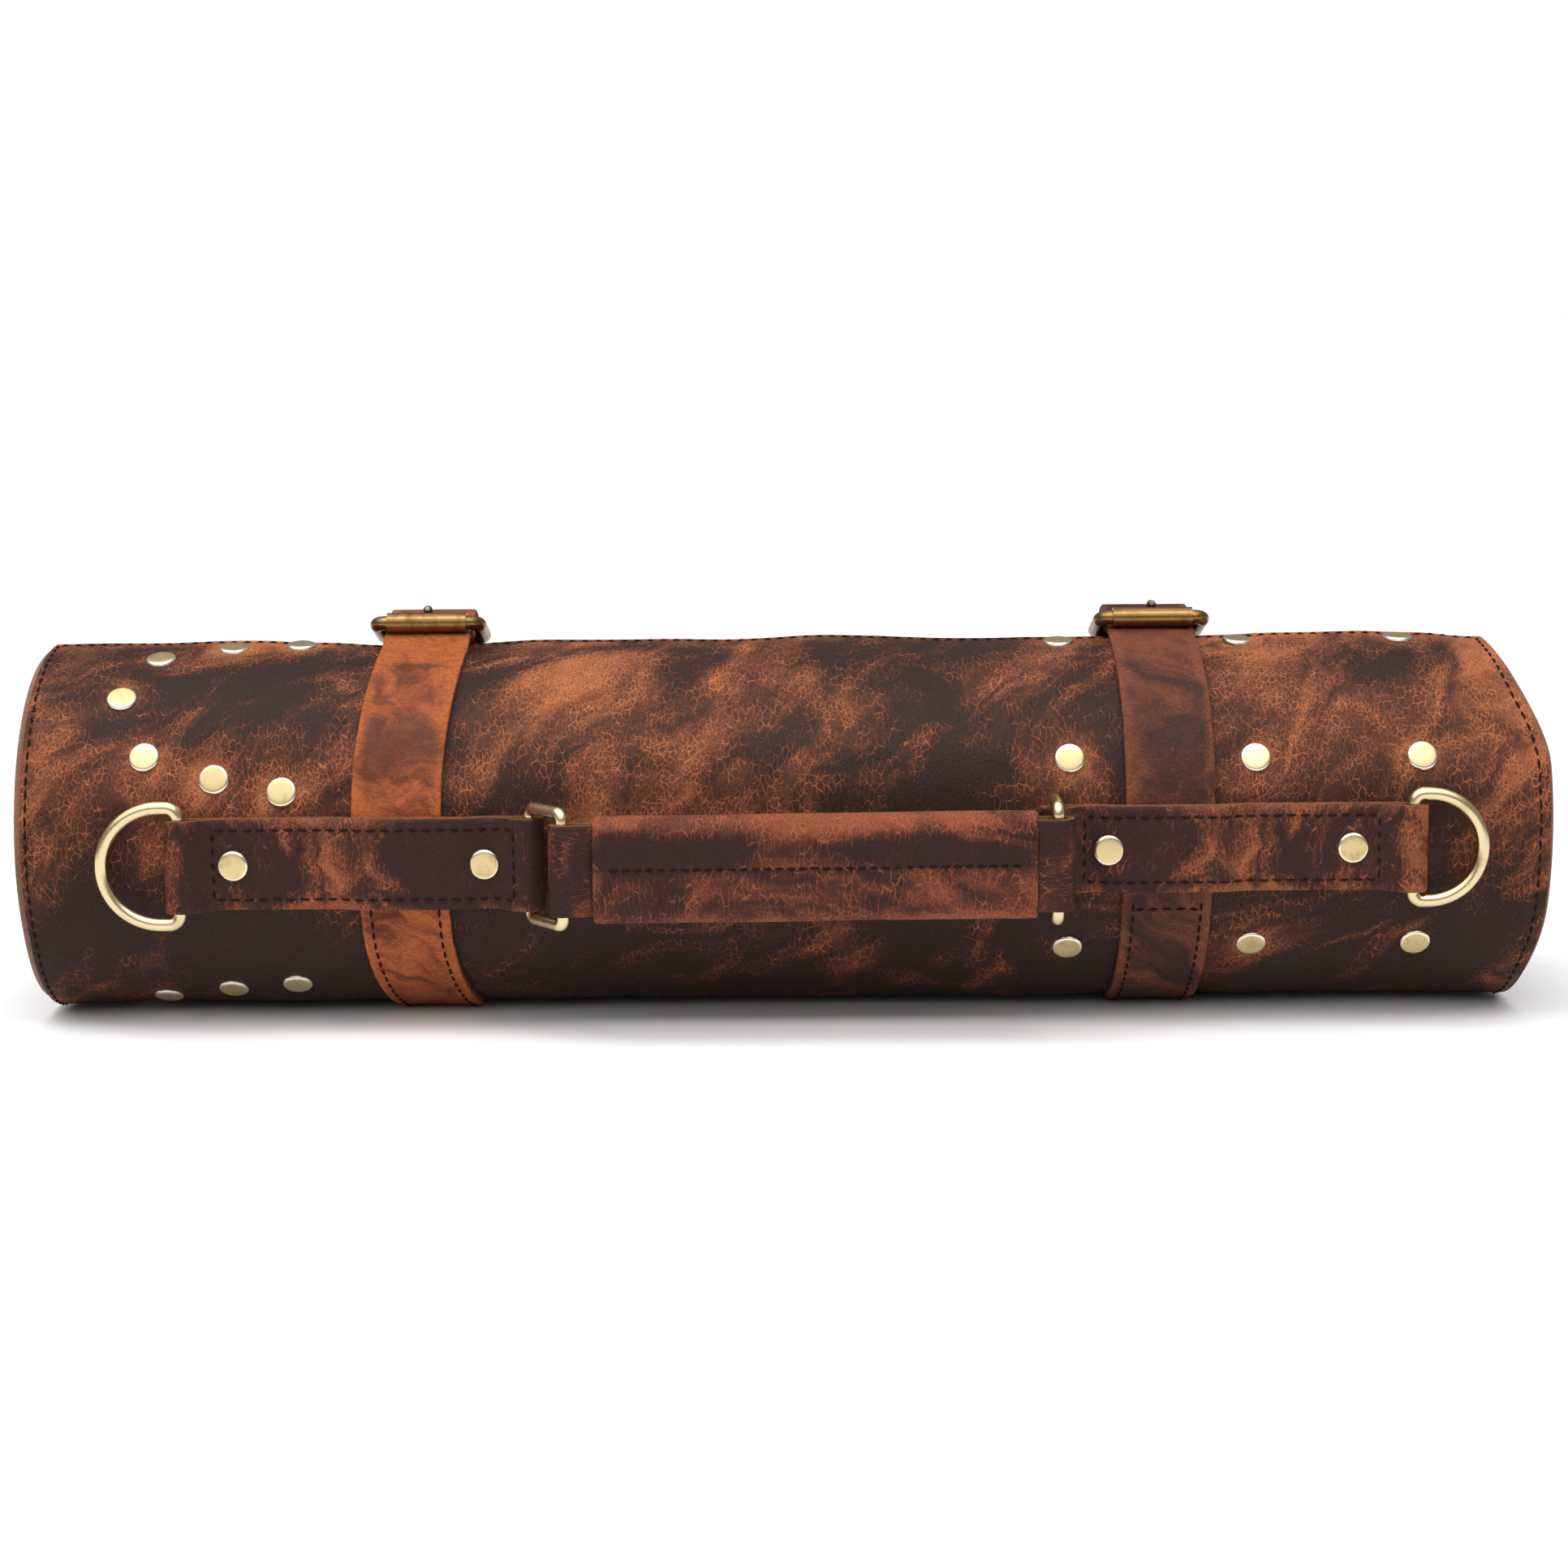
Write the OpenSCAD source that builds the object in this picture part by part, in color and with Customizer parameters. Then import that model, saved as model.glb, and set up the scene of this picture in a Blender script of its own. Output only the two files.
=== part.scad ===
// Rolled leather knife roll with a carrying handle, two roller-buckle closures and two D-rings.
// Millimetres. +X runs along the roll, -Y faces the handle side, +Z is up.
// The origin is the middle of the bounding box's underside.
// The roll is drawn about its own axis, then moved up and back by seat().
// An angle on the roll is counted from the front (-Y) and grows upward, over the top.

/* [View] */
// Which sub-part to draw

/* [Roll] */
// Length of the leather sheet along the roll
roll_length = 475; // [400:1:560]
// Radius of the outer face at the free edge
edge_radius = 61.5; // [50:0.5:80]
// Angle of the free edge
edge_angle = 89; // [60:1:120]
// Radius lost in one full turn inward
turn_pitch = 8.75; // [7:0.05:12]
// Degrees of sheet wound up
wound_angle = 846; // [540:2:1080]
// Distance from the axis down to the flattened underside
flat_height = 55.5; // [45:0.5:70]
// Thickness of the outer leather
outer_leather = 2.0; // [1.4:0.1:3.5]
// Thickness of the suede lining
lining_leather = 1.4; // [0.8:0.1:2]
// Thickness of the pocket panel
pocket_leather = 1.6; // [1:0.1:2.5]
// Left end of the pocket panel
pocket_left = -212; // [-230:1:-190]
// Right end of the pocket panel
pocket_right = 205; // [190:1:230]

/* [Closure straps] */
// Thickness of the strap leather
strap_leather = 2.2; // [1.6:0.1:3]
// Width of a closure strap
strap_width = 27.5; // [20:0.5:35]
// Centre of the left closure strap along the roll
left_strap_x = -114.5; // [-160:0.5:-90]
// Centre of the right closure strap along the roll
right_strap_x = 119; // [90:0.5:160]
// Angle where a closure strap begins, under the roll
strap_start = -112; // [-140:1:-95]
// Angle where a closure strap's tail ends, behind the roll
strap_tip = 174; // [150:1:180]
// Angle where the buckle strap ends, under the roll at the back
buckle_strap_end = 246; // [200:1:250]
// Thickness of the buckle strap and its keeper
buckle_leather = 1.6; // [1.2:0.1:2.4]

/* [Buckles] */
// Angle of the roller's centre
roller_angle = 84; // [76:1:88]
// Distance of the roller's centre from the roll's axis
roller_distance = 67; // [64:0.1:72]
// Outer diameter of the roller
roller_diameter = 6.5; // [6:0.1:8]
// Length of the roller
roller_length = 25.4; // [22:0.1:27]
// Angle of the buckle's rear bar
rear_angle = 104; // [98:1:108]
// Distance of the rear bar from the roll's axis
rear_distance = 61.4; // [60:0.1:66]
// Diameter of the buckle's wire
buckle_wire = 4.6; // [3.5:0.1:5]
// Width of the buckle between the centres of its side bars
buckle_width = 32.8; // [30:0.1:40]
// Radius of the buckle's corners
buckle_corner = 3.4; // [2.3:0.1:5]
// Diameter of the prong
prong_diameter = 3.0; // [2.4:0.1:4]
// Angle the prong can lift in the strap's hole
prong_lift = 8; // [0:1:12]

/* [Handle base] */
// Width of the left base strap
left_base_width = 28.7; // [24:0.1:32]
// Width of the right base strap
right_base_width = 27.0; // [24:0.1:32]
// Left base strap: distance of its D-ring bar from the middle
left_d_x = -186; // [-200:0.5:-170]
// Right base strap: distance of its D-ring bar from the middle
right_d_x = 193; // [170:0.5:205]
// Left base strap: place of its handle ring bar
left_ring_x = -78; // [-90:0.5:-60]
// Right base strap: place of its handle ring bar
right_ring_x = 82.5; // [60:0.5:95]
// Distance of the four ring bars from the roll's axis
bar_distance = 64.2; // [62:0.1:68]
// Height of the left base strap's middle above the axis
left_base_z = -2.1; // [-8:0.1:8]
// Height of the right base strap's middle above the axis
right_base_z = 0.9; // [-8:0.1:8]

/* [Rings] */
// Outer height of the left D-ring
left_d_height = 40.5; // [34:0.1:46]
// Distance from the left D-ring's bar to the centre of its bow
left_d_reach = 23.9; // [18:0.1:30]
// Outer height of the right D-ring
right_d_height = 37.4; // [34:0.1:46]
// Distance from the right D-ring's bar to the centre of its bow
right_d_reach = 21.4; // [18:0.1:30]
// Diameter of a D-ring's wire
d_wire = 4.2; // [3:0.1:5]
// Outer height of a handle ring
ring_height = 38.4; // [34:0.1:42]
// Distance between a handle ring's two bars
ring_reach = 17; // [14:0.5:24]
// Diameter of a handle ring's wire
ring_wire = 4.0; // [3:0.1:5]
// Lean of the left handle ring from the roll's length
left_lean = 51; // [30:1:90]
// Lean of the right handle ring from the roll's length
right_lean = 90; // [60:1:130]

/* [Handle] */
// Width of the handle strap
handle_width = 28; // [24:0.5:30]
// Height of the grip
grip_height = 33; // [28:0.5:40]
// Thickness of the grip, front to back
grip_depth = 11; // [9:0.5:16]
// Length of the grip
grip_length = 134; // [110:1:150]
// Thickness of the grip's wrap
grip_leather = 2.0; // [1.4:0.1:3]
// Free play of the handle strap round the right ring
open_play = 1.05; // [0.8:0.05:1.5]

/* [Rivets] */
// Diameter of a rivet cap
cap_diameter = 9.7; // [8:0.1:12]
// Height of a rivet cap
cap_height = 1.5; // [1:0.1:2.5]
// Diameter of a rivet's post
post_diameter = 2.8; // [2:0.1:4]

/* [Hidden] */
// Running clearance of a wire in its loop or eye
running = 0.08;
// Clearance between layers that only lie on each other
lie = 0.05;
// Move from the roll's axis to the origin
axis_up = flat_height + strap_leather;
axis_back = 13.75;
sheet_layers = outer_leather + lining_leather + pocket_leather;
// Lift of the buckle strap where the keeper passes under it
keeper_room = buckle_leather + 0.45;
roller_radius = roller_diameter / 2;
buckle_r = buckle_wire / 2;
eye_bore = buckle_r + running;
eye_outer = eye_bore + buckle_leather;
rear_y = -rear_distance * cos(rear_angle);
rear_z = rear_distance * sin(rear_angle);
front_y = -roller_distance * cos(roller_angle);
front_z = roller_distance * sin(roller_angle);
buckle_reach = norm([rear_y - front_y, rear_z - front_z]);
buckle_tilt = atan2(front_z - rear_z, rear_y - front_y);
prong_rise = asin((roller_radius + prong_diameter / 2 + lie) / buckle_reach);
prong_length = buckle_reach * cos(prong_rise) + 0.6;
handle_z = -1.05;
ring_shift = 0.75;
ring_r = ring_wire / 2;
d_r = d_wire / 2;
ring_span = ring_height - ring_wire;
left_near = [left_ring_x + ring_reach * cos(left_lean), -bar_distance - ring_reach * sin(left_lean)];
right_near = [right_ring_x + ring_reach * cos(right_lean), -bar_distance - ring_reach * sin(right_lean)];
handle_span = norm(right_near - left_near);
handle_turn = atan2(right_near[1] - left_near[1], right_near[0] - left_near[0]);
front_radius = skin(0, 0);
$fn = 48;

// --- helpers -------------------------------------------------------------------------------

// Radius of the wound sheet, offset outward; the outermost turn is flattened underneath.
function skin(angle, offset) =
    let (back = edge_angle - angle)
    let (radius = edge_radius - turn_pitch * back / 360 + offset)
    let (down = cos(angle + 90))
    (down > 0.5 && back < 270) ? min(radius, (flat_height + offset) / down) : radius;

// Smooth step from a to b while angle goes from low to high.
function ease(angle, low, high, a, b) =
    a + (b - a) * (1 - cos(180 * min(1, max(0, (angle - low) / (high - low))))) / 2;

// Radius of the outermost turn at the back of the top, past the free edge.
function back_skin(angle, offset) = skin(angle - 360, offset);

// Underside of a buckle strap's first layer.
function buckle_under(angle) =
    angle < 116 ? ease(angle, rear_angle, 116, rear_distance - eye_outer + lie, back_skin(116, lie))
    : angle < 138 ? back_skin(angle, ease(angle, 122, 132, lie, keeper_room))
    : back_skin(angle, ease(angle, 146, 156, keeper_room, lie));

// Top of a buckle strap, with the folded-back layer up to its end.
function buckle_top(angle) =
    angle < 126 ? ease(angle, rear_angle, 126, rear_distance + eye_outer - lie,
        buckle_under(126) + 2 * buckle_leather + 0.2)
    : buckle_under(angle) + buckle_leather;

// Underside of a closure strap.
function closure_under(angle) =
    angle < 76 ? skin(angle, 0)
    : angle < roller_angle ? skin(angle, ease(angle, 76, roller_angle, 0, lie))
    : angle < rear_angle ? ease(angle, roller_angle, rear_angle, skin(roller_angle, lie),
        rear_distance + eye_outer + lie)
    : angle < 126 ? buckle_top(angle) + lie
    : ease(angle, 126, 146, buckle_top(125.9) + lie, buckle_top(146) + lie)
        + max(0, angle - 146) * turn_pitch / 360;

function polar(angle, radius) = [-radius * cos(angle), radius * sin(angle)];

// Moves the roll's axis to its place above the origin.
module seat() {
    translate([0, axis_back, axis_up])
        children();
}

// Extrudes a profile drawn in (y, z) along X.
module along_x(from_x, to_x) {
    translate([from_x, 0, 0])
        rotate([90, 0, 90])
            linear_extrude(height = to_x - from_x)
                children();
}

// Turns a profile drawn in (radius, x) about the roll's axis.
module around_x(low, high) {
    rotate([-90, 0, 0])
        rotate([0, 90, 0])
            rotate([0, 0, -high])
                rotate_extrude(angle = high - low, $fn = 96)
                    children();
}

// Stands something on the roll at x, angle and radius, its +Z outward.
module stand_at(x, angle, radius) {
    translate([x, -radius * cos(angle), radius * sin(angle)])
        rotate([90 - angle, 0, 0])
            children();
}

// One layer of the wound sheet.
module wound(from_back, to_back, top, bottom, step) {
    count = ceil((to_back - from_back) / step);
    angles = [for (i = [0:count]) edge_angle - from_back - (to_back - from_back) * i / count];
    polygon(concat(
        [for (a = angles) polar(a, skin(a, top))],
        [for (i = [count:-1:0]) polar(angles[i], skin(angles[i], bottom))]));
}

// A closed wire rectangle in the XY plane, its first bar on the X axis, reaching to -Y.
module wire_rectangle(span, reach, wire_r, corner) {
    for (y = [0, -reach])
        translate([-span / 2 + corner, y, 0])
            rotate([0, 90, 0])
                cylinder(r = wire_r, h = span - 2 * corner);
    for (x = [-span / 2, span / 2])
        translate([x, -corner, 0])
            rotate([90, 0, 0])
                cylinder(r = wire_r, h = reach - 2 * corner);
    for (spot = [[1, 0, 0], [-1, 0, 90], [-1, 1, 180], [1, 1, 270]])
        translate([spot[0] * (span / 2 - corner), spot[1] == 0 ? -corner : corner - reach, 0])
            rotate([0, 0, spot[2]])
                rotate_extrude(angle = 90)
                    translate([corner, 0])
                        circle(r = wire_r);
}

// A D-ring in the XY plane, its bar on the X axis, reaching to -Y.
module wire_d(span, reach, wire_r, corner) {
    arm = reach - span / 2;
    translate([-span / 2 + corner, 0, 0])
        rotate([0, 90, 0])
            cylinder(r = wire_r, h = span - 2 * corner);
    for (side = [-1, 1])
        translate([side * span / 2, -corner, 0])
            rotate([90, 0, 0])
                cylinder(r = wire_r, h = arm - corner);
    for (side = [0, 1])
        translate([(1 - 2 * side) * (span / 2 - corner), -corner, 0])
            rotate([0, 0, 90 * side])
                rotate_extrude(angle = 90)
                    translate([corner, 0])
                        circle(r = wire_r);
    translate([0, -arm, 0])
        rotate([0, 0, 180])
            rotate_extrude(angle = 180)
                translate([span / 2, 0])
                    circle(r = wire_r);
}

// A domed rivet: cap outside, post, and a flat washer inside. Its grip starts at z = 0.
module rivet(grip) {
    rotate_extrude()
        polygon([[0, -grip - 0.8], [3.6, -grip - 0.8], [3.9, -grip - 0.5], [3.9, -grip],
            [post_diameter / 2, -grip], [post_diameter / 2, 0], [cap_diameter / 2, 0],
            [cap_diameter / 2, cap_height * 0.45], [cap_diameter / 2 - 0.5, cap_height * 0.78],
            [cap_diameter / 2 - 1.3, cap_height * 0.9], [cap_diameter / 4, cap_height * 0.98],
            [0, cap_height]]);
}

// Rounded bar profile, centred.
module rounded(w, h, r) {
    square([w - 2 * r, h], center = true);
    square([w, h - 2 * r], center = true);
    for (x = [-1, 1], y = [-1, 1])
        translate([x * (w / 2 - r), y * (h / 2 - r)])
            circle(r = r);
}

// --- sheet ---------------------------------------------------------------------------------

module outer_panel() {
    color([0.13, 0.08, 0.07])
        seat()
            along_x(-roll_length / 2, roll_length / 2)
                wound(0, wound_angle, 0, -outer_leather, 4.5);
}

module lining_panel() {
    color([0.42, 0.27, 0.18])
        seat()
            along_x(-roll_length / 2, roll_length / 2)
                wound(0, wound_angle, -outer_leather, -outer_leather - lining_leather, 4.5);
}

module pocket_panel() {
    color([0.3, 0.17, 0.11])
        seat()
            along_x(pocket_left, pocket_right)
                wound(4.5, wound_angle, -outer_leather - lining_leather, -sheet_layers, 4.5);
}

// Rivets that hold the pockets: rounded pocket ends on the left, rows on the right.
module pocket_rivets() {
    color([0.45, 0.32, 0.2])
        seat() {
            for (middle = [50.5, -82, -214.5])
                for (spot = [[-155, 31.5], [-176, 27.5], [-198, 20.3]])
                    for (side = [-1, 1])
                        if (middle + side * spot[1] < edge_angle)
                            stand_at(spot[0], middle + side * spot[1], skin(middle + side * spot[1], 0.02))
                                rivet(sheet_layers);
            for (middle = [50.5, -82, -214.5])
                stand_at(-207, middle, skin(middle, 0.02))
                    rivet(sheet_layers);
            for (x = [88.4, 146, 197.5])
                for (angle = [81, 27.6, -33.6, -94, -154, -214])
                    stand_at(x, angle, skin(angle, 0.02))
                        rivet(sheet_layers);
        }
}

// --- handle base ---------------------------------------------------------------------------

// A doubled strap sewn down between two loops, stepping over the closure strap.
module base_strap(d_x, ring_x, over_x, base_z, width) {
    side = sign(d_x);
    low = front_radius + 0.45;
    high = low + strap_leather;
    d_bore = d_r + running;
    ring_bore = ring_r + running;
    tilt = asin(base_z / (low + strap_leather));
    half = asin(width / 2 / (low + strap_leather));
    rise = strap_width / 2 + 2;
    around_x(tilt - half, tilt + half)
        polygon([[low, d_x - side * 7], [low, over_x + side * (rise + 9)], [high, over_x + side * rise],
            [high, over_x - side * rise], [low, over_x - side * (rise + 9)], [low, ring_x + side * 7],
            [low + 2 * strap_leather, ring_x + side * 7],
            [low + 2 * strap_leather, over_x - side * (rise + 9)],
            [high + 2 * strap_leather, over_x - side * rise],
            [high + 2 * strap_leather, over_x + side * rise],
            [low + 2 * strap_leather, over_x + side * (rise + 9)],
            [low + 2 * strap_leather, d_x - side * 7]]);
    for (spot = [[d_x, d_bore, -side], [ring_x, ring_bore, side]])
        translate([spot[0], -bar_distance, base_z - width / 2])
            linear_extrude(height = width)
                difference() {
                    union() {
                        circle(r = spot[1] + strap_leather);
                        polygon([[0, spot[1] + strap_leather], [spot[2] * 11, 4.2],
                            [spot[2] * 11, -1], [0, -spot[1] - strap_leather]]);
                    }
                    circle(r = spot[1]);
                }
}

module left_base_strap() {
    color([0.36, 0.2, 0.11])
        seat()
            base_strap(left_d_x, left_ring_x, left_strap_x, left_base_z, left_base_width);
}

module right_base_strap() {
    color([0.17, 0.1, 0.08])
        seat()
            base_strap(right_d_x, right_ring_x, right_strap_x, right_base_z, right_base_width);
}

module base_strap_rivets() {
    grip = 2 * strap_leather + outer_leather + lining_leather + pocket_leather + 0.45;
    color([0.45, 0.32, 0.2])
        seat()
            for (spot = [[-169.4, left_base_z], [-92.2, left_base_z], [99.4, right_base_z],
                [174.5, right_base_z]])
                stand_at(spot[0], asin(spot[1] / 64), front_radius + 0.47 + 2 * strap_leather)
                    rivet(grip);
}

// --- rings ---------------------------------------------------------------------------------

module d_ring(x, z, height, reach, corner) {
    side = sign(x);
    seat()
        translate([x, -bar_distance, z])
            rotate([90, 0, 0])
                rotate([0, 0, 90 * side])
                    wire_d(height - d_wire, reach, d_r, corner);
}

module left_d_ring() {
    color([0.72, 0.6, 0.36])
        d_ring(left_d_x, left_base_z, left_d_height, left_d_reach, 3.6);
}

module right_d_ring() {
    color([0.72, 0.6, 0.36])
        d_ring(right_d_x, right_base_z, right_d_height, right_d_reach, 3.0);
}

// A handle ring on a vertical bar, leaning by an angle from +X toward -Y.
module handle_ring(x, z, lean) {
    seat()
        translate([x, -bar_distance, z])
            rotate([0, 0, 90 - lean])
                rotate([0, 90, 0])
                    wire_rectangle(ring_span, ring_reach, ring_r, 2.4);
}

module left_handle_ring() {
    color([0.72, 0.6, 0.36])
        handle_ring(left_ring_x, handle_z - ring_shift, left_lean);
}

module right_handle_ring() {
    color([0.72, 0.6, 0.36])
        handle_ring(right_ring_x, handle_z + ring_shift, right_lean);
}

// --- handle --------------------------------------------------------------------------------

// Puts the handle's own frame at the left ring's near bar, its +X toward the right ring.
module handle_place() {
    seat()
        translate([left_near[0], left_near[1], handle_z])
            rotate([0, 0, handle_turn])
                children();
}

module handle_strap() {
    left_r = ring_r + running;
    right_r = ring_r + open_play;
    color([0.3, 0.17, 0.1])
        handle_place()
            translate([0, 0, -handle_width / 2])
                difference() {
                    union() {
                        cylinder(r = left_r + strap_leather, h = handle_width);
                        linear_extrude(height = handle_width)
                            polygon([[0, left_r + strap_leather - lie], [10, strap_leather],
                                [handle_span - 12, strap_leather],
                                [handle_span, right_r + strap_leather - lie],
                                [handle_span, lie - right_r - strap_leather],
                                [handle_span - 12, -strap_leather],
                                [10, -strap_leather], [0, lie - left_r - strap_leather]]);
                        translate([handle_span, 0, 0])
                            cylinder(r = right_r + strap_leather, h = handle_width);
                    }
                    translate([0, 0, -1])
                        cylinder(r = left_r, h = handle_width + 2);
                    translate([handle_span, 0, -1])
                        cylinder(r = right_r, h = handle_width + 2);
                }
}

module handle_grip() {
    color([0.3, 0.17, 0.1])
        handle_place()
            translate([(handle_span + 3.2 - grip_length) / 2, 0, 0])
                rotate([0, 90, 0])
                    linear_extrude(height = grip_length)
                        difference() {
                            rounded(grip_height, grip_depth, 5.2);
                            rounded(grip_height - 2 * grip_leather, grip_depth - 2 * grip_leather, 2.6);
                        }
}

module grip_padding() {
    thick = grip_depth / 2 - grip_leather - strap_leather - 2 * lie;
    color([0.5, 0.45, 0.4])
        handle_place()
            for (side = [-1, 1])
                translate([handle_span / 2 + 1.6, side * (strap_leather + lie + thick / 2), 0])
                    cube([grip_length - 12, thick, 22], center = true);
}

// --- closures ------------------------------------------------------------------------------

// The oblong hole that the prong passes through and can lift in.
module prong_hole(width) {
    gap = prong_diameter / 2 + 0.45;
    translate([0, rear_y, rear_z])
        rotate([-buckle_tilt, 0, 0])
            along_x(-width / 2, width / 2)
                polygon([for (p = [[4.5, -gap, 0], [buckle_reach + 4, -gap, 0],
                    [buckle_reach + 4, gap, prong_lift], [4.5, gap, prong_lift]])
                    [-p[0] * cos(prong_rise + p[2]) + p[1] * sin(prong_rise + p[2]),
                        p[0] * sin(prong_rise + p[2]) + p[1] * cos(prong_rise + p[2])]]);
}

module closure_strap(x) {
    angles = [for (a = [strap_start:3:69]) a];
    bridge = [for (a = [70:1.5:strap_tip - 2]) a];
    path = concat(angles, bridge, [strap_tip]);
    seat()
        translate([x, 0, 0])
            difference() {
                along_x(-strap_width / 2, strap_width / 2)
                    polygon(concat(
                        [for (a = path) polar(a, a < 70 ? skin(a, strap_leather)
                            : closure_under(a) + strap_leather)],
                        [for (i = [len(path) - 1:-1:0]) polar(path[i], closure_under(path[i]))]));
                prong_hole(prong_diameter + 0.9);
                for (a = [133.75, 153.25])
                    stand_at(0, a, 50)
                        cylinder(r = 2, h = 20);
            }
}

module left_closure_strap() {
    color([0.42, 0.24, 0.12])
        closure_strap(left_strap_x);
}

module right_closure_strap() {
    color([0.17, 0.1, 0.08])
        closure_strap(right_strap_x);
}

// A strap folded round the buckle's rear bar and sewn down the back of the roll.
module buckle_strap(x) {
    path = [for (a = [rear_angle:2:buckle_strap_end]) a];
    lap = [for (a = [rear_angle:2:126]) a];
    half = strap_width / 2 - 0.2;
    seat()
        translate([x, 0, 0])
            difference() {
                union() {
                    translate([-half, rear_y, rear_z])
                        rotate([0, 90, 0])
                            cylinder(r = eye_outer, h = 2 * half);
                    along_x(-half, half)
                        polygon(concat(
                            [for (a = path) polar(a, buckle_under(a) + buckle_leather)],
                            [for (i = [len(path) - 1:-1:0]) polar(path[i], buckle_under(path[i]))]));
                    along_x(-half, half)
                        polygon(concat(
                            [for (a = lap) polar(a, buckle_top(a))],
                            [for (i = [len(lap) - 1:-1:0]) polar(lap[i],
                                buckle_top(lap[i]) - buckle_leather)]));
                }
                translate([-half - 1, rear_y, rear_z])
                    rotate([0, 90, 0])
                        cylinder(r = eye_bore, h = 2 * half + 2);
                stand_at(0, rear_angle, rear_distance)
                    translate([-2.4, -8, -8])
                        cube([4.8, 15, 16]);
            }
}

module left_buckle_strap() {
    color([0.42, 0.24, 0.12])
        buckle_strap(left_strap_x);
}

module right_buckle_strap() {
    color([0.17, 0.1, 0.08])
        buckle_strap(right_strap_x);
}

module buckle_strap_rivets() {
    grip = buckle_leather + 0.1 + sheet_layers;
    color([0.45, 0.32, 0.2])
        seat()
            for (x = [left_strap_x, right_strap_x])
                stand_at(x, 186, back_skin(186, 0.07 + buckle_leather))
                    rivet(grip);
}

// Puts the buckle's frame at its rear bar, with the roller's bar toward -Y.
module buckle_place(x) {
    seat()
        translate([x, rear_y, rear_z])
            rotate([-buckle_tilt, 0, 0])
                children();
}

module left_buckle_frame() {
    color([0.6, 0.47, 0.28])
        buckle_place(left_strap_x)
            wire_rectangle(buckle_width, buckle_reach, buckle_r, buckle_corner);
}

module right_buckle_frame() {
    color([0.6, 0.47, 0.28])
        buckle_place(right_strap_x)
            wire_rectangle(buckle_width, buckle_reach, buckle_r, buckle_corner);
}

module roller(x) {
    buckle_place(x)
        translate([-roller_length / 2, -buckle_reach, 0])
            rotate([0, 90, 0])
                difference() {
                    cylinder(r = roller_radius, h = roller_length);
                    translate([0, 0, -1])
                        cylinder(r = eye_bore, h = roller_length + 2);
                }
}

module left_roller() {
    color([0.65, 0.52, 0.32])
        roller(left_strap_x);
}

module right_roller() {
    color([0.65, 0.52, 0.32])
        roller(right_strap_x);
}

// The prong: an eye on the rear bar and a straight bar that rests on the roller.
module prong(x) {
    buckle_place(x)
        difference() {
            union() {
                translate([-prong_diameter / 2, 0, 0])
                    rotate([0, 90, 0])
                        cylinder(r = eye_outer, h = prong_diameter);
                rotate([90 - prong_rise, 0, 0]) {
                    cylinder(r = prong_diameter / 2, h = prong_length - 1);
                    translate([0, 0, prong_length - 1])
                        cylinder(r1 = prong_diameter / 2, r2 = prong_diameter / 2 - 0.7, h = 1);
                }
            }
            translate([-5, 0, 0])
                rotate([0, 90, 0])
                    cylinder(r = eye_bore, h = 10);
        }
}

module left_prong() {
    color([0.6, 0.47, 0.28])
        prong(left_strap_x);
}

module right_prong() {
    color([0.6, 0.47, 0.28])
        prong(right_strap_x);
}

// A closed leather loop round the buckle strap and the closure strap's tail.
module keeper(x) {
    low = back_skin(144, lie);
    high = closure_under(137) + strap_leather + 0.25;
    inner = strap_width / 2 + 0.35;
    outer = inner + buckle_leather;
    seat()
        around_x(134, 144)
            difference() {
                translate([low, x - outer])
                    square([high + buckle_leather - low, 2 * outer]);
                translate([low + buckle_leather, x - inner])
                    square([high - low - buckle_leather, 2 * inner]);
            }
}

module left_keeper() {
    color([0.42, 0.24, 0.12])
        keeper(left_strap_x);
}

module right_keeper() {
    color([0.17, 0.1, 0.08])
        keeper(right_strap_x);
}

outer_panel();
lining_panel();
pocket_panel();
pocket_rivets();
left_base_strap();
right_base_strap();
base_strap_rivets();
left_d_ring();
right_d_ring();
left_handle_ring();
right_handle_ring();
handle_strap();
handle_grip();
grip_padding();
left_closure_strap();
right_closure_strap();
left_buckle_strap();
right_buckle_strap();
buckle_strap_rivets();
left_buckle_frame();
right_buckle_frame();
left_roller();
right_roller();
left_prong();
right_prong();
left_keeper();
right_keeper();
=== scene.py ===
"""Visual model of a leather knife roll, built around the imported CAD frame. Metres, row frame."""
import math
import random

import bmesh
import bpy
from mathutils import Matrix, Vector, noise


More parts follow.
